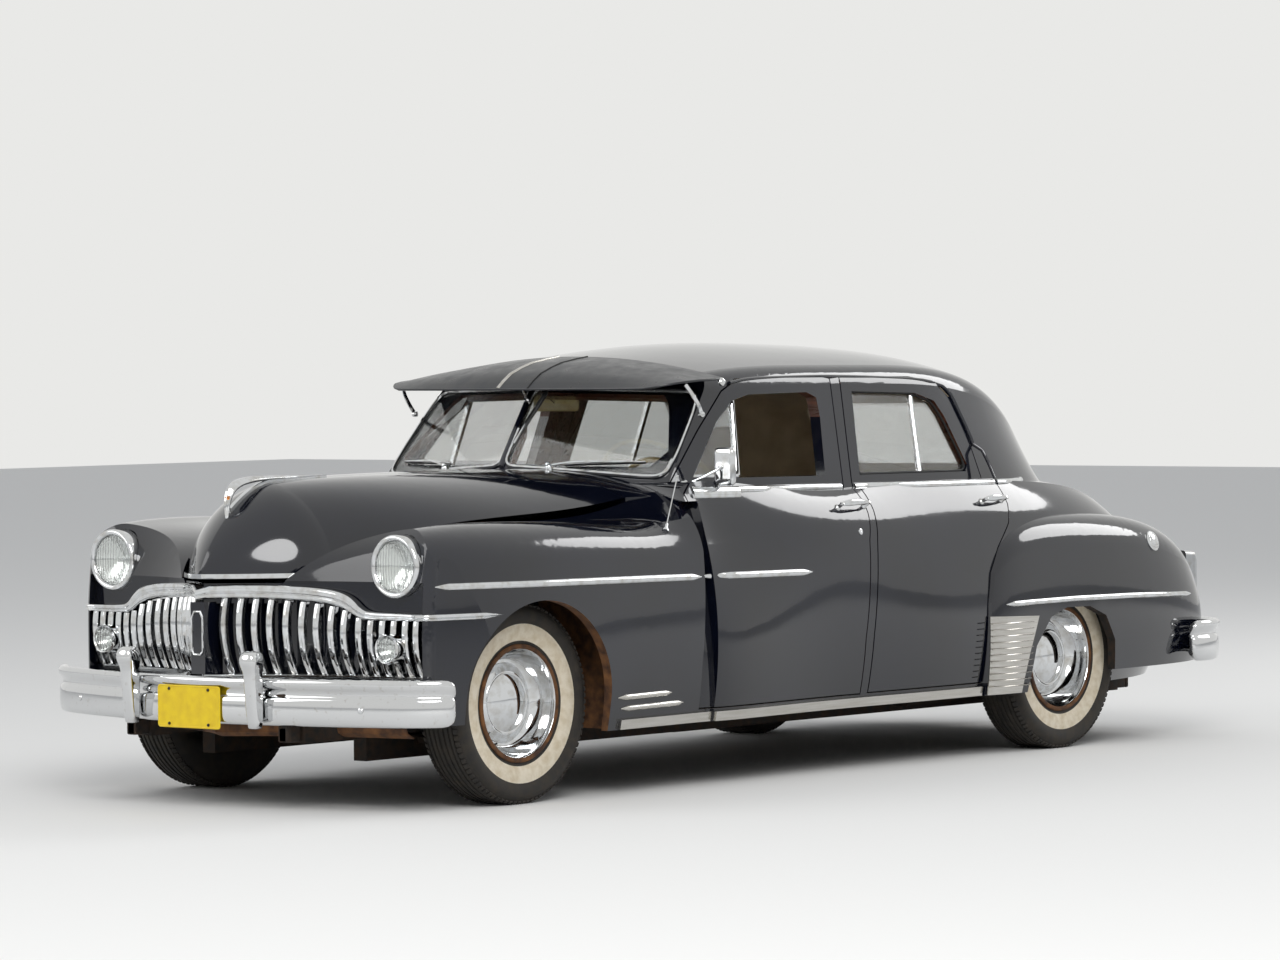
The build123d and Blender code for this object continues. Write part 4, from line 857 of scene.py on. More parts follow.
pane_outline = rounded_outline([on_screen(u, v, 0.006) for u, v in pane_corners], 0.045)
pane = plate(pane_outline, screen_out, 0.005)
piece("windshield_panes", both(pane), window_pane, 20, "window_glass", smooth=False)
back_mesh = nodes["window_glass"].data.copy()
back_mesh.materials.clear()
cut = bmesh.new()
cut.from_mesh(back_mesh)
bmesh.ops.delete(cut, geom=[f for f in cut.faces if f.calc_center_median().x > 0], context="FACES")
cut.to_mesh(back_mesh)
cut.free()
dress("back_window_pane", back_mesh, "body", window_pane, 40, "window_glass")
surround_section = [(-7, -8), (7, -8), (7, 1), (4, 6), (-4, 6), (-7, 1)]
screen_frame = sweep(dense(pane_outline, 0.03), surround_section, screen_out, closed=True)
piece("windshield_surround", both(screen_frame), chrome)
rubber_path = [p - screen_out * 0.004 for p in dense(pane_outline, 0.03)]
rubber_part = sweep(rubber_path, round_section(8, 8), screen_out, closed=True)
piece("windshield_rubber", both(rubber_part), seal_rubber)
centre_bar = sweep([on_screen(0, v, 0.003) for v in (0.012, 0.12, 0.24, 0.388)],
                   [(-13, -12), (13, -12), (13, 2), (8, 9), (3, 11), (-3, 11),
                    (-8, 9), (-13, 2)], Vector((1, 0, 0.5)))
piece("windshield_centre_bar", centre_bar, enamel, 50)


def wiper(pivot_u, arm_end, blade_ends):
    """A wiper: pivot in the cowl, sprung arm, and a rubber blade bowed against the pane."""
    seat = on_screen(pivot_u, -0.03)
    pivot = on_top(["body_shell"], seat.x + 0.012, seat.y)[0] + Vector((0, 0, 0.012))
    end = on_screen(*arm_end, 0.024)
    arm = curve_through([pivot + Vector((0, 0, 0.004)), pivot.lerp(end, 0.45) + screen_out * 0.012, end], 6)
    hub = lathe([(0, -20), (15, -18), (14, 0), (10, 6), (11, 11), (6, 17), (0, 18)],
                pivot, Vector((0.35, 0, 1)), 20)
    strap = sweep(arm, [(-4, -1.5), (4, -1.5), (4, 1.5), (-4, 1.5)], screen_out)
    (u0, v0), (u1, v1) = blade_ends
    line = [on_screen(u0 + (u1 - u0) * t, v0 + (v1 - v0) * t, 0.015 + 0.006 * (1 - (2 * t - 1) ** 2))
            for t in (0, 0.2, 0.4, 0.5, 0.6, 0.8, 1)]
    bow = sweep(line, [(-3, -2), (3, -2), (3, 3), (-3, 3)], screen_out,
                scales=[0.6, 0.9, 1.2, 1.3, 1.2, 0.9, 0.6])
    lip = sweep([on_screen(u0 + (u1 - u0) * t, v0 + (v1 - v0) * t, 0.0115) for t in (0, 0.5, 1)],
                [(-1.6, -5), (1.6, -5), (3, 4), (-3, 4)], screen_out)
    return join_lists([hub, strap, bow]), lip


driver_metal, driver_rubber = wiper(0.225, (0.430, 0.036), ((0.270, 0.024), (0.600, 0.046)))
passenger_metal, passenger_rubber = wiper(0.310, (0.460, 0.036), ((0.320, 0.026), (0.630, 0.040)))
piece("wiper_arms", join_lists([driver_metal, mirrored(passenger_metal)]), chrome)
piece("wiper_rubbers", join_lists([driver_rubber, mirrored(passenger_rubber)]), seal_rubber)

visor_rear_x = 0.520
visor_drop = [(0, 0), (0.23, 0.09), (0.44, 0.19), (0.61, 0.34), (0.78, 0.53), (0.90, 0.76), (1, 1.0)]
visor_width = [(0, 0.727), (0.2, 0.729), (0.4, 0.724), (0.6, 0.712), (0.76, 0.698), (0.88, 0.672),
               (0.95, 0.645), (1, 0.605)]


def visor_point(s, across, lift=0.0):
    """A point of the visor's top: s from its rear edge (0) to its front edge (1), across from -1 to 1."""
    y = across * read_off(visor_width, s)
    front = 0.868 - 0.105 * y * y
    rear_z = 1.567 - 0.155 * y * y
    return Vector((visor_rear_x + s * (front - visor_rear_x), y,
                   rear_z - (rear_z - 1.451) * read_off(visor_drop, s) + lift))


visor_steps = [0, 0.12, 0.23, 0.33, 0.44, 0.53, 0.61, 0.70, 0.78, 0.84, 0.90, 0.93, 0.96, 0.985, 1.0]
visor_rows = [[visor_point(s, -1 + 2 * k / 48) for k in range(49)] for s in visor_steps]
under_rows = [[p - Vector((0, 0, 0.003)) for p in row] for row in reversed(visor_rows)]
shell = grid(visor_rows + under_rows, closed_along=True)
piece("visor_shell", shell, visor_enamel, 60, "sun_visor")
front_edge = [visor_point(1, -1 + 2 * k / 32) for k in range(1, 32)]
edge_line = [visor_point(s, -1) for s in visor_steps] + front_edge
edge_line += [visor_point(s, 1) for s in reversed(visor_steps)]
rolled_edge = tube([p - Vector((0, 0, 0.003)) for p in edge_line], 4.5, 8)
piece("visor_rolled_edge", rolled_edge, visor_enamel)


def visor_bar(y, width, height):
    """A strip along the visor at y, from its rear edge to its front edge."""
    line = [visor_point(s, y / read_off(visor_width, s), 0.0005) for s in visor_steps]
    return sweep(line, half_round(width, height, points=5), Vector((0.3, 0, 1)))


piece("visor_centre_strip", visor_bar(-0.073, 16, 5), stainless)
piece("visor_seam", visor_bar(0.073, 6, 3), seal_rubber)
bolt = lathe([(0, -6), (16, -4), (16, 4), (11, 9), (0, 10)], (0.535, 0.733, 1.470), (0, 1, 0.25), 20)
arm_line = curve_through([(0.705, 0.700, 1.462), (0.680, 0.712, 1.425), (0.648, 0.716, 1.385),
                          (0.628, 0.712, 1.357)], 5)
strap = sweep(arm_line, [(-8, -2), (8, -2), (8, 2), (-8, 2)], Vector((0, 1, 0)))
knob = lathe([(0, -12), (10, -10), (12, 0), (10, 8), (0, 10)], (0.626, 0.711, 1.352), (0.3, 1, 0), 20)
piece("visor_arms", both(join_lists([bolt, strap, knob])), chrome)
stay_foot = on_screen(0, 0.330, 0.008)
stay_top = Vector((0.815, 0, 1.470))
stay_middle = stay_foot.lerp(stay_top, 0.5) + Vector((0.006, 0, 0))
stay = join_lists([tube([stay_top, stay_middle, stay_foot], 4, 10),
                   lathe([(0, -4), (12, -3), (14, 6), (9, 14), (0, 16)], stay_foot, (1, 0, 0.4), 20)])
piece("visor_stay", stay, chrome)

# Bumpers


def plan_line(direction, tip, corner, middle_x, step=0.025):
    """Points of a bumper's plan line from the right tip to the left one, with their outward directions."""
    reach = middle_x - corner[0] * direction
    radius = (reach ** 2 + corner[1] ** 2) / (2 * reach)
    centre_x = middle_x - radius
    half_angle = asin(corner[1] / radius)
    left = []
    count = int(radius * half_angle / step)
    for i in range(count + 1):
        angle = half_angle * i / count
        left.append((Vector((centre_x + radius * cos(angle), radius * sin(angle), 0)),
                     Vector((cos(angle), sin(angle), 0))))
    chord = Vector((tip[0] * direction - corner[0] * direction, tip[1] - corner[1], 0))
    way = Vector((-sin(half_angle), cos(half_angle), 0))
    turn = way.angle(chord)
    bend = chord.length / (2 * sin(turn))
    hub = Vector((corner[0] * direction, corner[1], 0)) - left[-1][1] * bend
    for t in (0.2, 0.4, 0.6, 0.75, 0.85, 0.91, 0.95, 0.975, 0.99, 1.0):
        angle = half_angle + 2 * turn * t
        out = Vector((cos(angle), sin(angle), 0))
        left.append((hub + out * bend, out))
    right = [(Vector((p.x, -p.y, 0)), Vector((n.x, -n.y, 0))) for p, n in reversed(left[1:])]
    whole = right + left
    return [(Vector((direction * p.x, p.y, 0)), Vector((direction * n.x, n.y, 0))) for p, n in whole]


# outward offset of the bumper's face at each height above its lower edge, in mm
blade_face = [(0, -7), (1, 0), (5, 7), (13, 11.5), (28, 14), (50, 14.6), (76, 14.2), (92, 13), (97, 10.5),
              (101, 5.5), (107, 3), (115, 3.2), (122, 6), (128, 10.5), (134, 15), (142, 18.6), (150, 19.6),
              (158, 17.5), (164, 11), (166, 4), (165, -6), (160, -12)]
bumper_foot_z = 0.306
bumper_height = 0.166
blade_thickness = 0.0045
corner_radius = 0.045
tip_curl = 0.014
lower_lip, upper_lip, lip_depth = 20, 146, 0.003


def bumper_bar(direction, tip, corner, middle_x):
    """The blade with its rolled upper bead, groove and rounded ends."""
    line = plan_line(direction, tip, corner, middle_x)
    tip_end = line[-1][0]
    rows = []
    for point, out in line:
        to_end = min((point - tip_end).length, (Vector((point.x, -point.y, 0)) - tip_end).length)
        trim = 0.0
        if to_end < corner_radius:
            trim = corner_radius - sqrt(corner_radius ** 2 - (corner_radius - to_end) ** 2)
        curl = tip_curl * max(0.0, 1 - to_end / tip_curl) ** 2
        face, back = [], []
        for h, o in blade_face:
            z = bumper_foot_z + trim * 0.9 + h * mm * (1 - 1.7 * trim / bumper_height)
            edge = min(1, 0.75 + to_end / 0.08)
            face.append(point + out * (o * mm * edge - curl) + Vector((0, 0, z)))
            inward = z + (lip_depth if h < lower_lip else -lip_depth if h > upper_lip else 0)
            back.append(point + out * (o * mm * edge - curl - blade_thickness) + Vector((0, 0, inward)))
        rows.append(face + back[::-1])
    return solid(rows)


# an overrider's levels: height, middle x, depth and width, in mm
guard_levels = [(298, 2576, 30, 34), (301, 2575, 40, 44), (320, 2575, 46, 48), (370, 2578, 55, 51),
                (420, 2580, 60, 52), (450, 2582, 62, 53), (478, 2583, 62, 54), (498, 2585, 67, 58),
                (514, 2588, 74, 69), (528, 2590, 78, 75), (542, 2590, 77, 73), (554, 2590, 69, 64),
                (562, 2589, 56, 52), (567, 2589, 36, 34), (568, 2589, 10, 10)]


def overrider(direction):
    """A bulbous-topped overrider on the left."""
    rows = []
    for z, x, depth, width in guard_levels:
        row = []
        for angle in turns(32):
            c, s = cos(angle), sin(angle)
            row.append(Vector((direction * (x + depth / 2 * copysign(abs(c) ** 0.62, c)) * mm,
                               (300 + width / 2 * copysign(abs(s) ** 0.62, s)) * mm, z * mm)))
        rows.append(row)
    return solid(rows)


def round_bolt(spot, out, radius):
    """A dome-headed bolt of a radius in mm."""
    profile = [(0, -3), (radius, -2), (radius, 1), (radius * 0.8, 4), (radius * 0.4, 5.5), (0, 6)]
    return lathe(profile, spot, out, 16)


def arm_box(direction, from_x, to_x, from_y, to_y, from_z, to_z):
    """A bar of a bumper's arm, between two distances ahead of the car's middle."""
    return rounded_box((min(direction * from_x, direction * to_x), from_y, from_z),
                       (max(direction * from_x, direction * to_x), to_y, to_z), 0.006, 2)


for label, direction, tip, corner, middle_x in (("front", 1, (2.255, 0.946), (2.395, 0.800), 2.552),
                                                ("rear", -1, (-2.190, 0.944), (-2.480, 0.800), 2.580)):
    bar = bumper_bar(direction, tip, corner, middle_x)
    piece(label + "_bumper_bar", bar, worn_chrome, 55, label + "_bumper")
    guards = both(overrider(direction))
    piece(label + "_overriders", guards, worn_chrome, 60, label + "_bumper")
    bolts = []
    for point, out in plan_line(direction, tip, corner, middle_x):
        if 0.66 < point.y < 0.684:
            bolts.append(round_bolt(point + out * 0.0145 + Vector((0, 0, 0.366)), out, 11))
    piece(label + "_bumper_bolts", both(join_lists(bolts[:1])), chrome)
    arm_x = 2.440 if direction > 0 else 2.450
    arm_z = 0.248 if direction > 0 else 0.166
    end_x = middle_x - 0.026
    arms = [arm_box(direction, arm_x, end_x - 0.014, 0.350, 0.390, arm_z, arm_z + 0.056),
            arm_box(direction, end_x - 0.036, end_x - 0.014, 0.347, 0.393, arm_z, 0.418),
            arm_box(direction, end_x - 0.028, end_x, 0.292, 0.393, 0.352, 0.418)]
    piece(label + "_bumper_arms", both(join_lists(arms)), underseal, 40, label + "_bumper")

# Grille header, wings and sill bar

plan_points = [(0, 0), (0.120, 0.180), (0.190, 0.360), (0.235, 0.580), (0.272, 0.814)]
nose_curve = curve_through([(-setback, half, 0) for setback, half in plan_points], 8)
nose_curve[0] = Vector((0, 0, 0))


def front_setback(y):
    """How far the nose lies behind its foremost point at y."""
    return -read_off([(p.y, p.x) for p in nose_curve], abs(y))


def nose_point(front_x, y):
    """A point of the nose's plan line and its outward direction."""
    change = front_setback(max(y - 0.01, 0)) - front_setback(y + 0.01)
    ahead = Vector((change, 0.01 + min(y, 0.01), 0)).normalized()
    return Vector((front_x - front_setback(y), y, 0)), Vector((ahead.y, -ahead.x, 0))


header_top = [(0, 0.770), (0.016, 0.776), (0.045, 0.786), (0.12, 0.789), (0.20, 0.787), (0.37, 0.780),
              (0.45, 0.771), (0.49, 0.762), (0.52, 0.749), (0.54, 0.735), (0.555, 0.720), (0.57, 0.708),
              (0.59, 0.700), (0.62, 0.696), (0.82, 0.692)]
header_bottom = [(0, 0.736), (0.06, 0.741), (0.20, 0.739), (0.37, 0.731), (0.45, 0.720), (0.49, 0.709),
                 (0.52, 0.695), (0.54, 0.684), (0.56, 0.674), (0.59, 0.669), (0.62, 0.667), (0.82, 0.667)]
# the moulding's section: height from its foot (0) to its top (1), and outward offset in mm
header_section = [(1, -38), (1, -10), (0.96, -5), (0.86, -1.5), (0.72, 0), (0.58, -0.6), (0.5, -2),
                  (0.46, -4.5), (0.40, -5), (0.36, -2.6), (0.28, -1), (0.16, -2), (0.06, -6), (0, -12),
                  (0, -38)]


def moulding_row(point, out, low, high):
    """One section of the header moulding between two heights."""
    return [point + out * (o * mm) + Vector((0, 0, low + (high - low) * h)) for h, o in header_section]


header_stations = [0, 0.008, 0.016, 0.03, 0.045, 0.08, 0.12, 0.16, 0.20, 0.25, 0.30, 0.35, 0.40, 0.43, 0.46,
                   0.48, 0.50, 0.515, 0.53, 0.545, 0.56, 0.575, 0.59, 0.61, 0.64, 0.68, 0.72, 0.76, 0.79]
header_rows = []
for y in header_stations:
    point, out = nose_point(2.560, y)
    if y == 0:
        out = Vector((1, 0, 0))
    header_rows.append(moulding_row(point, out, read_off(header_bottom, y), read_off(header_top, y)))
wing_x = [2.290, 2.262, 2.235, 2.20, 2.16, 2.12, 2.08, 2.04, 2.00, 1.98, 1.965, 1.955]
for number, x in enumerate(wing_x):
    hit = on_side(["front_fenders"], x, 0.715) or on_side(["grille_surround"], x, 0.680)
    out = (hit[1] + Vector((max(0.0, 0.9 - 0.5 * number), 0, 0))).normalized()
    out.z = 0
    thin = 1 if x > 2.04 else max(0.06, (x - 1.95) / 0.09)
    header_rows.append(moulding_row(Vector((x, hit[0].y, 0)) + out * (0.003 + 0.006 * thin), out,
                                    0.680 - 0.013 * thin, 0.680 + 0.012 * thin))
piece("header_moulding", both(solid(header_rows)), chrome, 50, "grille_surround")
sill_line = []
for k in range(-40, 41):
    point, out = nose_point(2.518, abs(k) * 0.020)
    sill_line.append(Vector((point.x - 0.018, k * 0.020, 0.464)))
sill_section = [(18, -10), (18, 9), (14, 12), (-10, 12), (-16, 9), (-18, 3), (-17, -6), (-12, -12), (14, -12)]
sill_bar = sweep(sill_line, sill_section, Vector((0, 0, 1)))
piece("grille_sill_bar", sill_bar, chrome, 50, "grille_surround")

# Number plate

plate_low, plate_high = Vector((0, -0.178, 0.288)), Vector((0, 0.126, 0.438))


def plate_outline(margin, x):
    """The number plate's outline, drawn in by a margin."""
    corners = [(x, plate_low.y + margin, plate_low.z + margin),
               (x, plate_high.y - margin, plate_low.z + margin),
               (x, plate_high.y - margin, plate_high.z - margin),
               (x, plate_low.y + margin, plate_high.z - margin)]
    return rounded_outline(corners, 0.014 - margin * 0.6, 5)


plate_x = 2.5688
rows = [plate_outline(0.0, plate_x - 0.0015), plate_outline(0.0, plate_x),
        plate_outline(0.002, plate_x + 0.0014), plate_outline(0.005, plate_x + 0.0014),
        plate_outline(0.007, plate_x), plate_outline(0.020, plate_x)]
piece("plate_sheet", solid(rows), plate_paint, 30, "number_plate")
bolts = [round_bolt((plate_x + 0.0005, y, z), (1, 0, 0), 5.5)
         for y, z in ((-0.121, 0.424), (0.069, 0.424), (-0.121, 0.302), (0.069, 0.302))]
piece("plate_bolts", join_lists(bolts), cast)

# Door mirror

mirror_x, mirror_y, mirror_z = Vector((0.660, 0.846, 1.162))
mirror_back = [rounded_outline(upright_corners(mirror_x + depth, mirror_y, mirror_z, 0.046 * grow,
                                               0.070 * grow), 0.022 * grow, 5)
               for depth, grow in ((0.0115, 0.72), (0.0108, 0.86), (0.008, 0.95), (0.003, 0.995),
                                   (-0.004, 1.0), (-0.009, 0.985), (-0.011, 0.95), (-0.011, 0.90),
                                   (-0.008, 0.89))]
piece("mirror_shell", solid(mirror_back), chrome, 40, "door_mirror", body="front_door_left_body")
glass_corners = upright_corners(mirror_x - 0.0088, mirror_y, mirror_z, 0.041, 0.0625)
glass_outline = rounded_outline(glass_corners, 0.020, 5)
piece("mirror_face", plate(glass_outline, Vector((-1, 0, 0)), 0.002), mirror_glass, 20,
      body="front_door_left_body", smooth=False)
arm_line = curve_through([(0.665, 0.838, 1.160), (0.690, 0.822, 1.146), (0.728, 0.790, 1.122),
                          (0.772, 0.752, 1.098)], 5)
mirror_arm = join_lists([
    tube(arm_line, 5.5, 12),
    lathe([(0, -4), (18, -2), (17, 6), (10, 14), (0, 16)], (0.776, 0.748, 1.098), (0.2, 1, 0.1), 24),
    lathe([(0, -8), (9, -6), (10, 0), (9, 8), (0, 10)], (0.668, 0.837, 1.160), (1, 0, 0), 16)])
piece("mirror_arm", mirror_arm, chrome, 50, "door_mirror", body="front_door_left_body")

# Drip rails, back window, boot and tail

rail_points = [(0.395, 0.652, 1.465), (0.278, 0.647, 1.478), (0.03, 0.646, 1.482), (-0.210, 0.646, 1.482),
               (-0.50, 0.649, 1.474), (-0.789, 0.653, 1.460), (-0.927, 0.666, 1.422), (-0.985, 0.695, 1.33),
               (-1.030, 0.730, 1.227), (-1.050, 0.770, 1.14), (-1.057, 0.799, 1.075)]
rail_path = []
for p in curve_through(rail_points, 4):
    hit = on_side(["body_shell"], p.x, p.z)
    near = hit and abs(hit[0].y - p.y) < 0.03
    rail_path.append(Vector((p.x, hit[0].y if near else p.y, p.z)) + Vector((0, 0.004, 0)))
rail = sweep(rail_path, half_round(12, 10, points=5), Vector((0, 1, 0.3)))
piece("drip_rails", both(rail), enamel, 50)


back_corners = upright_corners(0, 0, 1.235, 0.458, 0.133)
back_path, back_ups = [], []
for p in dense(rounded_outline(back_corners, 0.12, 8), 0.03):
    point, normal = on_back(["body_shell"], p.y, p.z)
    back_path.append(point)
    back_ups.append(normal)
back_frame = sweep(back_path, half_round(20, 8, points=5), back_ups, closed=True)
piece("back_window_surround", back_frame, chrome)

seat_point, seat_way = on_back(["boot_lid"], 0, 0.700)
bar_path = curve_through([seat_point + Vector((-0.004, -0.085, 0)),
                          seat_point + Vector((-0.030, -0.060, 0.004)),
                          seat_point + Vector((-0.034, 0, 0.008)),
                          seat_point + Vector((-0.030, 0.060, 0.004)),
                          seat_point + Vector((-0.004, 0.085, 0))], 4)
boot_handle = join_lists([
    tube(bar_path, 9, 12),
    lathe([(0, -6), (24, -4), (23, 4), (16, 10), (7, 12), (0, 12)],
          seat_point + Vector((0, 0, -0.055)), seat_way, 24)])
piece("boot_handle", boot_handle, chrome, body="boot_lid_body")
lamp_lines = []
for x, half_wide, half_tall in ((-2.440, 0.0190, 0.070), (-2.462, 0.0185, 0.068), (-2.474, 0.0165, 0.064),
                                (-2.481, 0.0120, 0.054), (-2.484, 0.0040, 0.030)):
    lamp_corners = upright_corners(x, 0.762, 0.645, half_wide, half_tall)
    lamp_lines.append(rounded_outline(lamp_corners, half_wide * 0.9, 5))
piece("tail_lenses", both(solid(lamp_lines)), ruby_glass, 50)
valance = []
for k in range(-34, 35):
    point, out = nose_point(2.500, abs(k) * 0.020)
    row = [(0, 0.330), (0.004, 0.300), (-0.006, 0.268), (-0.040, 0.252), (-0.043, 0.256), (-0.010, 0.272),
           (0.0, 0.302), (-0.004, 0.330)]
    valance.append([Vector((point.x + dx - 0.03, k * 0.020, z)) for dx, z in row])
piece("splash_pan", solid(valance), rust)

badge_corners = [(0, 0.026 - 0.010, 0.545), (0, 0.026, 0.557), (0, 0.026, 0.672), (0, 0.014, 0.695),
                 (0, -0.014, 0.695), (0, -0.026, 0.672), (0, -0.026, 0.557), (0, -0.016, 0.545)]
badge_path = [Vector((2.5475, y, z)) for _, y, z in badge_corners]
badge_rim = sweep(badge_path, half_round(8, 6, points=5), Vector((1, 0, 0)), closed=True)
piece("badge_rim", badge_rim, chrome, 40, "grille_surround")
piece("badge_field", plate(badge_path, Vector((1, 0, 0)), 0.0012), enamel, smooth=False)

# Seats, stuffed by a cloth simulation

remesh_size = 0.010
movement_cap = 0.022
cloth_frames = 20


def stuffed(name, part, stands_for, material):
    """A padded piece: remeshed, blown up by a pressure cloth with its movement capped, and smoothed."""
    item = linked(name + "_form", plain_mesh(name + "_form", *part))
    remesh = item.modifiers.new("remesh", "REMESH")
    remesh.mode = "VOXEL"
    remesh.voxel_size = remesh_size
    bpy.context.view_layer.update()
    result = evaluated(item)
    item.modifiers.remove(remesh)
    item.data = result
    start = [v.co.copy() for v in result.vertices]
    cloth = item.modifiers.new("cloth", "CLOTH")
    cloth.settings.use_pressure = True
    cloth.settings.uniform_pressure_force = 4
    cloth.settings.effector_weights.gravity = 0
    cloth.settings.quality = 5
    cloth.point_cache.frame_start = 1
    cloth.point_cache.frame_end = cloth_frames
    for number in range(1, cloth_frames + 1):
        bpy.context.scene.frame_set(number)
    blown = evaluated(item)
    item.modifiers.remove(cloth)
    for vertex, before in zip(blown.vertices, start):
        move = vertex.co - before
        if move.length > movement_cap:
            vertex.co = before + move * (movement_cap / move.length)
    item.data = blown
    bpy.context.scene.frame_set(1)
    smooth = item.modifiers.new("smooth", "SMOOTH")
    smooth.factor = 0.5
    smooth.iterations = 4
    item.modifiers.new("divide", "SUBSURF").levels = 1
    item.modifiers["divide"].render_levels = 1
    bpy.context.view_layer.update()
    final = evaluated(item)
    bpy.data.objects.remove(item)
    final.materials.clear()
    dress(name, final, "body", material, 60, stands_for, outwards=False)


def bolster(side_outline, half_width, crown):
    """A stuffed form: a rounded (x, z) outline carried across the car, pulled in at both ends."""
    outline = rounded_outline([(x, z) for x, z in side_outline], 0.05, 5)
    middle = sum(outline, Vector((0, 0))) / len(outline)
    rows = []
    for k in range(-16, 17):
        t = k / 16
        pull = 1 - crown * abs(t) ** 6 - 0.10 * max(0, abs(t) - 0.94) / 0.06
        rows.append([Vector((middle.x + (p.x - middle.x) * pull, t * half_width,
                             middle.y + (p.y - middle.y) * pull)) for p in outline])
    return solid(rows)


# each seat's half width, and the (x, z) outlines of its cushion and its back
seats = {
    "front_seat": (
        0.640,
        [(0.425, 0.400), (0.425, 0.545), (0.390, 0.578), (0.170, 0.545), (-0.010, 0.520), (-0.010, 0.400)],
        [(0.118, 0.560), (0.062, 0.965), (0.040, 0.998), (-0.062, 0.998), (-0.076, 0.960), (-0.020, 0.440),
         (0.060, 0.440)]),
    "rear_seat": (
        0.570,
        [(-0.545, 0.400), (-0.545, 0.545), (-0.570, 0.578), (-0.800, 0.545), (-0.960, 0.520),
         (-0.960, 0.400)],
        [(-0.840, 0.560), (-0.900, 0.985), (-0.925, 1.018), (-1.022, 1.018), (-1.036, 0.980),
         (-0.980, 0.440), (-0.900, 0.440)]),
}
for label, (half, cushion_outline, back_outline) in seats.items():
    for part_name, outline in (("_cushion", cushion_outline), ("_back", back_outline)):
        stuffed(label + part_name, bolster(outline, half - 0.020, 0.05), label, seat_cloth)
    low_x, high_x = (-0.030, 0.400) if label == "front_seat" else (-0.990, -0.560)
    base = rounded_box((low_x, -half + 0.03, 0.287), (high_x, half - 0.03, 0.405), 0.02, 3)
    piece(label + "_base", base, dash_enamel, 40, label)
    pipes = []
    for (px, pz), out in ((cushion_outline[2], 0.014), (back_outline[1], 0.012), (back_outline[3], 0.012)):
        line = [Vector((px + (out if px > cushion_outline[3][0] else 0.010), (half - 0.045) * k / 12,
                        pz + 0.012)) for k in range(-12, 13)]
        pipes.append(tube(line, 4, 8))
    piece(label + "_piping", join_lists(pipes), door_cloth)

# Steering wheel, column lever and dashboard fittings

hub_centre = Vector((0.395, 0.370, 0.985))
tilt = radians(28)
wheel_way = Vector((-cos(tilt), 0, sin(tilt)))
wheel_up = Vector((sin(tilt), 0, cos(tilt)))
wheel_side = Vector((0, 1, 0))


def on_wheel(radius, angle, lift=0.0):
    """A point of the steering wheel's plane, at an angle from its left."""
    out = wheel_side * cos(angle) + wheel_up * sin(angle)
    return hub_centre + out * radius + wheel_way * lift


rim_radius, grip_radius = 0.2205, 0.0108
finger_grips, finger_depth = 36, 0.0006
rim_rows = []
for angle in turns(96):
    grip = grip_radius + finger_depth * cos(angle * finger_grips) * (1 if sin(angle) < 0.3 else 0)
    outwards = wheel_side * cos(angle) + wheel_up * sin(angle)
    rim_rows.append([on_wheel(rim_radius, angle) + outwards * (grip * cos(turn))
                     + wheel_way * (grip * sin(turn)) for turn in turns(12)])
rim = grid(rim_rows, closed_across=True, closed_along=True)
spokes = []
for angle in (radians(-12), radians(192), radians(270)):
    line = [on_wheel(r, angle, -0.012 - 0.020 * (1 - r / 0.22)) for r in (0.030, 0.080, 0.140, 0.200, 0.216)]
    spokes.append(sweep(line, [(-13, -4), (13, -4), (14, 0), (10, 5), (-10, 5), (-14, 0)],
                        wheel_way, scales=[1.25, 1.1, 0.95, 0.85, 0.7]))
boss = lathe([(0, -45), (30, -43), (37, -30), (37, -12), (30, -4), (24, 0), (0, 2)],
             hub_centre, wheel_way, 40)
piece("steering_wheel_rim", join_lists([rim] + spokes + [boss]), cream_plastic, 50, "steering_wheel",
      body="steering_wheel_body")
ring_line = [on_wheel(0.125, radians(a), 0.004) for a in range(180, 361, 10)]
horn = join_lists([tube(ring_line, 4.5, 10),
                   tube([on_wheel(0.125, pi, 0.004), on_wheel(0.03, pi, 0.0)], 4, 8),
                   tube([on_wheel(0.125, 0, 0.004), on_wheel(0.03, 0, 0.0)], 4, 8),
                   lathe([(0, -1), (24, 0), (23, 6), (14, 11), (0, 13)], hub_centre, wheel_way, 32)])
piece("horn_ring", horn, chrome, 50, body="steering_wheel_body")
lever_root = hub_centre - wheel_way * 0.075
lever_end = lever_root + Vector((-0.02, -0.185, 0.045))
lever_line = [lever_root + Vector((0, -0.018, 0)), lever_root.lerp(lever_end, 0.5) + Vector((0, 0, 0.006)),
              lever_end]
piece("gear_lever", tube(curve_through(lever_line, 5), 5, 10), chrome)
knob = lathe([(0, -14), (9, -12), (13, -2), (11, 10), (0, 15)], lever_end, (-0.1, -1, 0.2), 20)
piece("gear_lever_knob", knob, cream_plastic, 60)

dash_low, dash_high = Vector((0.566, 0, 1.000)), Vector((0.5865, 0, 1.075))
dash_up = (dash_high - dash_low).normalized()
dash_out = Vector((-dash_up.z, 0, dash_up.x))


def on_dash(y, rise, lift=0.0):
    """A point of the dashboard's upper face."""
    return dash_low + Vector((0, y, 0)) + dash_up * rise + dash_out * lift


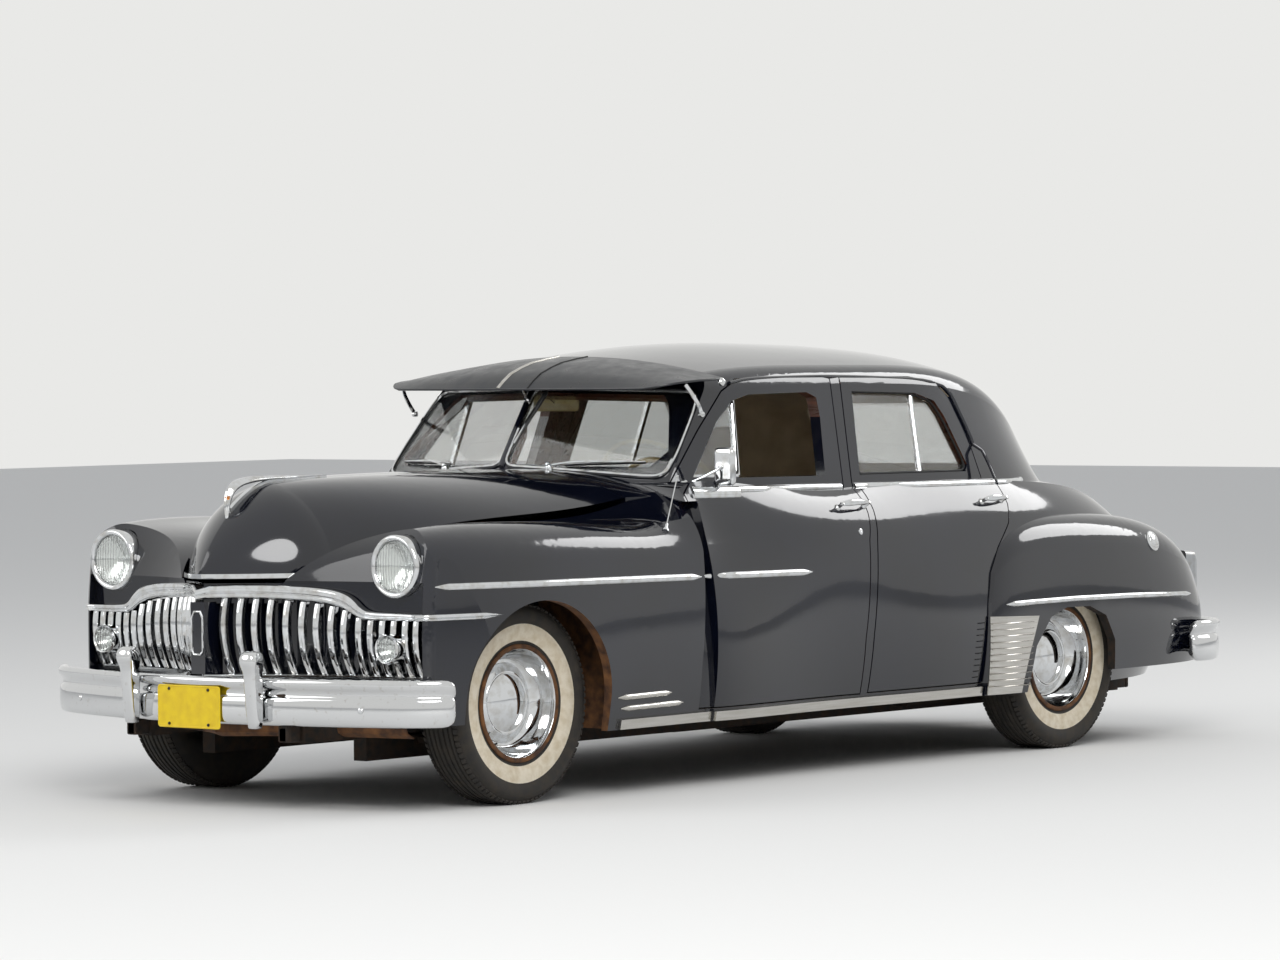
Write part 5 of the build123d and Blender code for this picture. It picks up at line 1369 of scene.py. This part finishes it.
bezels, faces_of_dials, marks, needles = [], [], [], []
for y, radius in ((0.370, 36), (0.285, 26), (0.455, 26), (-0.400, 26)):
    centre = on_dash(y, 0.036, 0.001)
    bezels.append(lathe([(radius, -4), (radius + 4, -3), (radius + 4.5, 3), (radius + 1, 6), (radius - 2, 3),
                         (radius - 2, -4)], centre, dash_out, 40))
    faces_of_dials.append(lathe([(0, 0.5), (radius - 1, 0.5), (radius - 1, -3), (0, -3)], centre, dash_out,
                                40))
    for i in range(12):
        angle = radians(210 - i * 240 / 11)
        ray = wheel_side * cos(angle) + dash_up * sin(angle)
        ends = [centre + ray * (radius * mm * share) + dash_out * 0.001 for share in (0.74, 0.90)]
        marks.append(sweep(ends, [(-0.6, -0.3), (0.6, -0.3), (0.6, 0.4), (-0.6, 0.4)], dash_out))
    ray = wheel_side * 0.7 + dash_up * 0.5
    needles.append(sweep([centre + ray * (radius * mm * share) + dash_out * 0.002 for share in (0, 0.85)],
                         [(-1, -0.4), (1, -0.4), (1, 0.5), (-1, 0.5)], dash_out,
                         scales=[1.2, 0.4]))
piece("dial_bezels", join_lists(bezels), chrome, 40)
piece("dial_faces", join_lists(faces_of_dials), dial_face)
piece("dial_marks", join_lists(marks + needles), dial_ink)
radio = []
for i in range(9):
    middle = on_dash(0.0, 0.006 + i * 0.0075, 0.001)
    radio.append(sweep([middle + Vector((0, -0.10, 0)), middle + Vector((0, 0.10, 0))],
                       [(-2.2, -2), (2.2, -2), (2.2, 3), (1, 4.5), (-1, 4.5), (-2.2, 3)],
                       dash_out))
piece("radio_grille", join_lists(radio), chrome)
knobs = [lathe([(0, -2), (11, -2), (10, 8), (8, 14), (0, 16)], Vector((0.590, y, 0.945)),
               Vector((-1, 0, -0.35)), 20) for y in (-0.20, -0.13, 0.13, 0.20, 0.50, 0.57)]
piece("dash_knobs", join_lists(knobs), cream_plastic, 50)
glove = rounded_outline([on_dash(-0.60, 0.004, 0.001), on_dash(-0.46, 0.004, 0.001),
                         on_dash(-0.46, 0.064, 0.001), on_dash(-0.60, 0.064, 0.001)], 0.012)
piece("glove_box_rim", sweep(glove, half_round(4, 2, points=5), dash_out, closed=True), chrome)
pedals = []
for y, z, wide, tall in ((0.50, 0.420, 0.055, 0.050), (0.38, 0.420, 0.055, 0.050),
                         (0.27, 0.360, 0.045, 0.110)):
    pedals.append(rounded_box((0.700, y - wide / 2, z), (0.714, y + wide / 2, z + tall), 0.005, 2))
    pedals.append(tube([(0.712, y, z + tall * 0.5), (0.760, y, z + 0.02), (0.798, y, z + 0.06)], 7, 8))
piece("pedals", join_lists(pedals), seal_rubber)

inner_mirror = [rounded_outline(upright_corners(0.618 + d, 0, 1.388, 0.110 * g, 0.026 * g), 0.018 * g, 5)
                for d, g in ((0.012, 0.7), (0.010, 0.9), (0.004, 1.0), (-0.004, 1.0), (-0.006, 0.97),
                             (-0.005, 0.92))]
piece("inner_mirror_shell", solid(inner_mirror), cream_plastic, 50)
piece("inner_mirror_stem", tube([(0.628, 0, 1.395), (0.655, 0, 1.412), (0.672, 0, 1.440)], 5, 10), chrome)
face_outline = rounded_outline(upright_corners(0.6118, 0, 1.388, 0.102, 0.021), 0.016)
piece("inner_mirror_face", plate(face_outline, Vector((-1, 0, 0)), 0.001), mirror_glass, smooth=False)


# Door cards


def on_card(name, x, z):
    """The inner face of a left door at x and z."""
    return skin_tree(name).ray_cast(Vector((x, 0.15, z)), Vector((0, 1, 0)), 1.0)[0]


for door, rest_x, winder_x, handle_x in (("front_door", (0.08, 0.36), 0.42, 0.52),
                                         ("rear_door", (-0.72, -0.44), -0.36, -0.26)):
    rows = []
    for k in range(13):
        x = rest_x[0] + (rest_x[1] - rest_x[0]) * k / 12
        wall = on_card(door + "_left", x, 0.780)
        size = sqrt(max(0.05, 1 - abs(k / 6 - 1) ** 6))
        rows.append([Vector((x, wall.y + 0.006 - (0.062 * size if k2 in (1, 2, 3) else 0.0)
                             + (0.010 if k2 in (1, 3) else 0), z))
                     for k2, z in enumerate((0.742, 0.748, 0.780, 0.806, 0.812))])
    rest = solid(rows + [[Vector((p.x, p.y + 0.0005, p.z)) for p in rows[-1]]])
    crank_wall = on_card(door + "_left", winder_x, 0.840)
    pull_wall = on_card(door + "_left", handle_x, 0.900)
    crank = join_lists([lathe([(0, 4), (24, 2), (22, -6), (12, -12), (0, -14)], crank_wall, (0, 1, 0), 24),
                        sweep([crank_wall + Vector((0, -0.012, 0)),
                               crank_wall + Vector((0.05, -0.018, -0.05)),
                               crank_wall + Vector((0.06, -0.020, -0.06))],
                              [(-6, -3), (6, -3), (6, 3), (-6, 3)], Vector((0, -1, 0))),
                        lathe([(0, 2), (24, 1), (20, -8), (0, -12)], pull_wall, (0, 1, 0), 24),
                        tube(curve_through([pull_wall + Vector((0, -0.010, 0)),
                                            pull_wall + Vector((-0.045, -0.020, 0.004)),
                                            pull_wall + Vector((-0.095, -0.016, 0.0))], 4), 6, 10)])
    grip = lathe([(0, 0), (8, -2), (11, -14), (9, -28), (0, -32)],
                 crank_wall + Vector((0.058, -0.020, -0.058)), (0, 1, 0), 16)
    pair(door + "_armrest", rest, door, door_cloth, 60)
    pair(door + "_winder", crank, door, chrome)
    pair(door + "_winder_knob", grip, door, cream_plastic)

# Hood ornament and badge

spine = [(2.395, 1.010), (2.392, 1.060), (2.380, 1.100), (2.350, 1.128), (2.290, 1.143), (2.200, 1.150),
         (2.080, 1.152), (1.960, 1.152), (1.885, 1.151)]
widths = [0.006, 0.013, 0.019, 0.021, 0.017, 0.012, 0.009, 0.006, 0.003]
heights = [0.004, 0.012, 0.018, 0.022, 0.018, 0.012, 0.009, 0.006, 0.003]
spine_points = curve_through([(x, 0, z) for x, z in spine], 4)


def along(values, count):
    """Values read off evenly along a list."""
    found = []
    for i in range(count):
        t = i / (count - 1) * (len(values) - 1)
        k = min(int(t), len(values) - 2)
        found.append(values[k] + (values[k + 1] - values[k]) * (t - k))
    return found


rows = []
count = len(spine_points)
for i, (w, h) in enumerate(zip(along(widths, count), along(heights, count))):
    p = spine_points[i]
    ahead_point = spine_points[min(i + 1, count - 1)] - spine_points[max(i - 1, 0)]
    up_way = Vector((-ahead_point.z, 0, ahead_point.x)).normalized()
    if up_way.z < 0 or (i < 6 and up_way.x < 0):
        up_way = -up_way
    row = []
    for angle in turns(14):
        c, s = cos(angle), sin(angle)
        spread = w * abs(c) ** 0.8 * (1 if c > 0 else -1)
        rise = h * 0.55 * s + (h * 0.35 if s > 0.9 else 0)
        row.append(p + Vector((0, spread, 0)) + up_way * rise)
    rows.append(row)
piece("hood_ornament", solid(rows), chrome, body="hood_body")
jewel = lathe([(0, -10), (13, -6), (15, 0), (12, 7), (6, 11), (0, 12)], (2.388, 0, 1.088), (1, 0, 0.35), 24)
piece("ornament_jewel", jewel, amber, body="hood_body")

# Tread blocks and stone guard ribs, by Geometry Nodes


def repeated(name, part, offsets, body, material):
    """Copies a small mesh to many points in a Geometry Nodes tree and keeps the result as a plain mesh."""
    group = bpy.data.node_groups.new(name + "_copies", "GeometryNodeTree")
    group.interface.new_socket("Points", in_out="INPUT", socket_type="NodeSocketGeometry")
    group.interface.new_socket("Geometry", in_out="OUTPUT", socket_type="NodeSocketGeometry")
    enter = add(group, "NodeGroupInput")
    leave = add(group, "NodeGroupOutput")
    source = linked(name + "_source", plain_mesh(name + "_source", *part))
    shape = add(group, "GeometryNodeObjectInfo", {"Object": source})
    turn = add(group, "GeometryNodeInputNamedAttribute", {"Name": "turn"}, data_type="FLOAT_VECTOR")
    copies = add(group, "GeometryNodeInstanceOnPoints",
                 {"Points": enter.outputs["Points"], "Instance": shape.outputs["Geometry"],
                  "Rotation": turn.outputs["Attribute"]})
    real = add(group, "GeometryNodeRealizeInstances", {"Geometry": copies.outputs[0]})
    painted = add(group, "GeometryNodeSetMaterial", {"Geometry": real.outputs[0], "Material": material})
    group.links.new(painted.outputs[0], leave.inputs[0])
    dots = plain_mesh(name + "_points", [p for p, _ in offsets], [])
    attribute = dots.attributes.new("turn", "FLOAT_VECTOR", "POINT")
    for i, (_, angles) in enumerate(offsets):
        attribute.data[i].vector = angles
    holder = linked(name + "_holder", dots)
    modifier = holder.modifiers.new("copies", "NODES")
    modifier.node_group = group
    bpy.context.view_layer.update()
    result = evaluated(holder)
    holder.modifiers.remove(modifier)
    bpy.data.objects.remove(holder)
    bpy.data.objects.remove(source)
    result.materials.clear()
    dress(name, result, body, material)


# tread blocks round each tyre's shoulders
shoulder_blocks = 96
shoulder_radius, shoulder_y, shoulder_slant = 0.3495, 0.0745, 0.55
block_part = rounded_box((-0.0085, -0.0085, -0.004), (0.0075, 0.0085, 0.003), 0.0012, 1)
for end, side_name, side, centre, body in wheels:
    places = []
    for edge in (1, -1):
        for i in range(shoulder_blocks):
            angle = 2 * pi * (i + 0.5 * (edge > 0)) / shoulder_blocks
            out = Vector((cos(angle), 0, sin(angle)))
            places.append((centre + out * shoulder_radius + Vector((0, edge * shoulder_y, 0)),
                           (-edge * shoulder_slant, pi / 2 - angle, 0)))
    repeated(f"{end}_tyre_{side_name}_shoulder_blocks", block_part, places, body, rubber)

# level ribs pressed in the stone guard, one above the other
rib_count, lowest_rib_z, rib_spacing = 11, 0.272, 0.0245
guard_rib = rounded_box((-0.135, -0.003, -0.0022), (0.135, 0.004, 0.0022), 0.0018, 1)
rib_places = []
for i in range(rib_count):
    hit = on_side(["sill_trim"], -0.985, lowest_rib_z + i * rib_spacing)
    if hit:
        rib_places.append((hit[0] + hit[1] * 0.001, (0, 0, 0)))
mirrored_places = [(Vector((p.x, -p.y, p.z)), a) for p, a in rib_places]
repeated("stone_guard_ribs", guard_rib, rib_places + mirrored_places, "body", stainless)

# Floor, light and camera

floor_half = 40
floor_finish = finish("pale_floor", "E9E8E5", 0.85)
sheet = plain_mesh("floor", [(-floor_half, -floor_half, 0), (floor_half, -floor_half, 0),
                             (floor_half, floor_half, 0), (-floor_half, floor_half, 0)], [(0, 1, 2, 3)])
sheet.materials.append(floor_finish)
floor = linked("floor", sheet)

world = bpy.data.worlds.new("studio")
bpy.context.scene.world = world
world.use_nodes = True
tree = world.node_tree
background = tree.nodes["Background"]
direction = add(tree, "ShaderNodeTexCoord").outputs["Generated"]
height = add(tree, "ShaderNodeSeparateXYZ", {0: direction}).outputs["Z"]
ramp = add(tree, "ShaderNodeValToRGB", {0: height})
stops = ramp.color_ramp.elements
stops[0].position = 0.0
stops[0].color = linear("56524A")
stops[1].position = 0.5
stops[1].color = linear("F2F5FA")
for position, color in ((0.03, "1F1D1A"), (0.15, "26241F"), (0.24, "AEB4BC")):
    stop = stops.new(position)
    stop.color = linear(color)
light_path = add(tree, "ShaderNodeLightPath")
plain = add(tree, "ShaderNodeBackground", {"Color": linear("E9E9E7"), "Strength": 1.0})
tree.links.new(ramp.outputs[0], background.inputs["Color"])
background.inputs["Strength"].default_value = 0.62
seen = light_path.outputs["Is Camera Ray"]
for kind in ("Is Glossy Ray", "Is Transmission Ray"):
    seen = add(tree, "ShaderNodeMath", {0: seen, 1: light_path.outputs[kind]}, operation="MAXIMUM").outputs[0]
blend_world = add(tree, "ShaderNodeMixShader", {0: seen, 1: background.outputs[0], 2: plain.outputs[0]})
tree.links.new(blend_world.outputs[0], tree.nodes["World Output"].inputs["Surface"])

# soft lights: place, aim, width in metres and power in watts
for label, spot, aim, size, power in (("key", (9, 9, 9), (0, 0, 0.6), 7, 900),
                                      ("fill", (10, -6, 6), (0, 0, 0.6), 8, 320),
                                      ("rear", (-10, 4, 7), (0, 0, 0.8), 6, 420)):
    lamp_data = bpy.data.lights.new(label, "AREA")
    lamp_data.size = size
    lamp_data.shape = "DISK"
    lamp_data.energy = power
    lamp_object = linked(label, lamp_data)
    lamp_object.location = spot
    lamp_object.rotation_euler = (Vector(aim) - Vector(spot)).to_track_quat("-Z", "Y").to_euler()

# the camera that was fitted to the photograph: focal length and width in its pixels, place in metres
focal_length, picture_width = 5570.72, 1280
camera_place = (16.4454, 13.6782, 1.6328)
lens_data = bpy.data.cameras.new("camera")
camera = linked("camera", lens_data)
bpy.context.scene.camera = camera
lens_data.sensor_width = 36
lens_data.lens = focal_length / picture_width * lens_data.sensor_width
lens_data.clip_end = 200
yaw, pitch, roll = 3.83940, -0.025408, -0.0104007
ahead = Vector((cos(pitch) * cos(yaw), cos(pitch) * sin(yaw), sin(pitch)))
level = ahead.cross(Vector((0, 0, 1))).normalized()
upright = level.cross(ahead)
right = level * cos(roll) + upright * sin(roll)
up = upright * cos(roll) - level * sin(roll)
turned = Matrix((right, up, -ahead)).transposed()
camera.matrix_world = Matrix.Translation(camera_place) @ turned.to_4x4()

bpy.context.scene.view_settings.view_transform = "Standard"
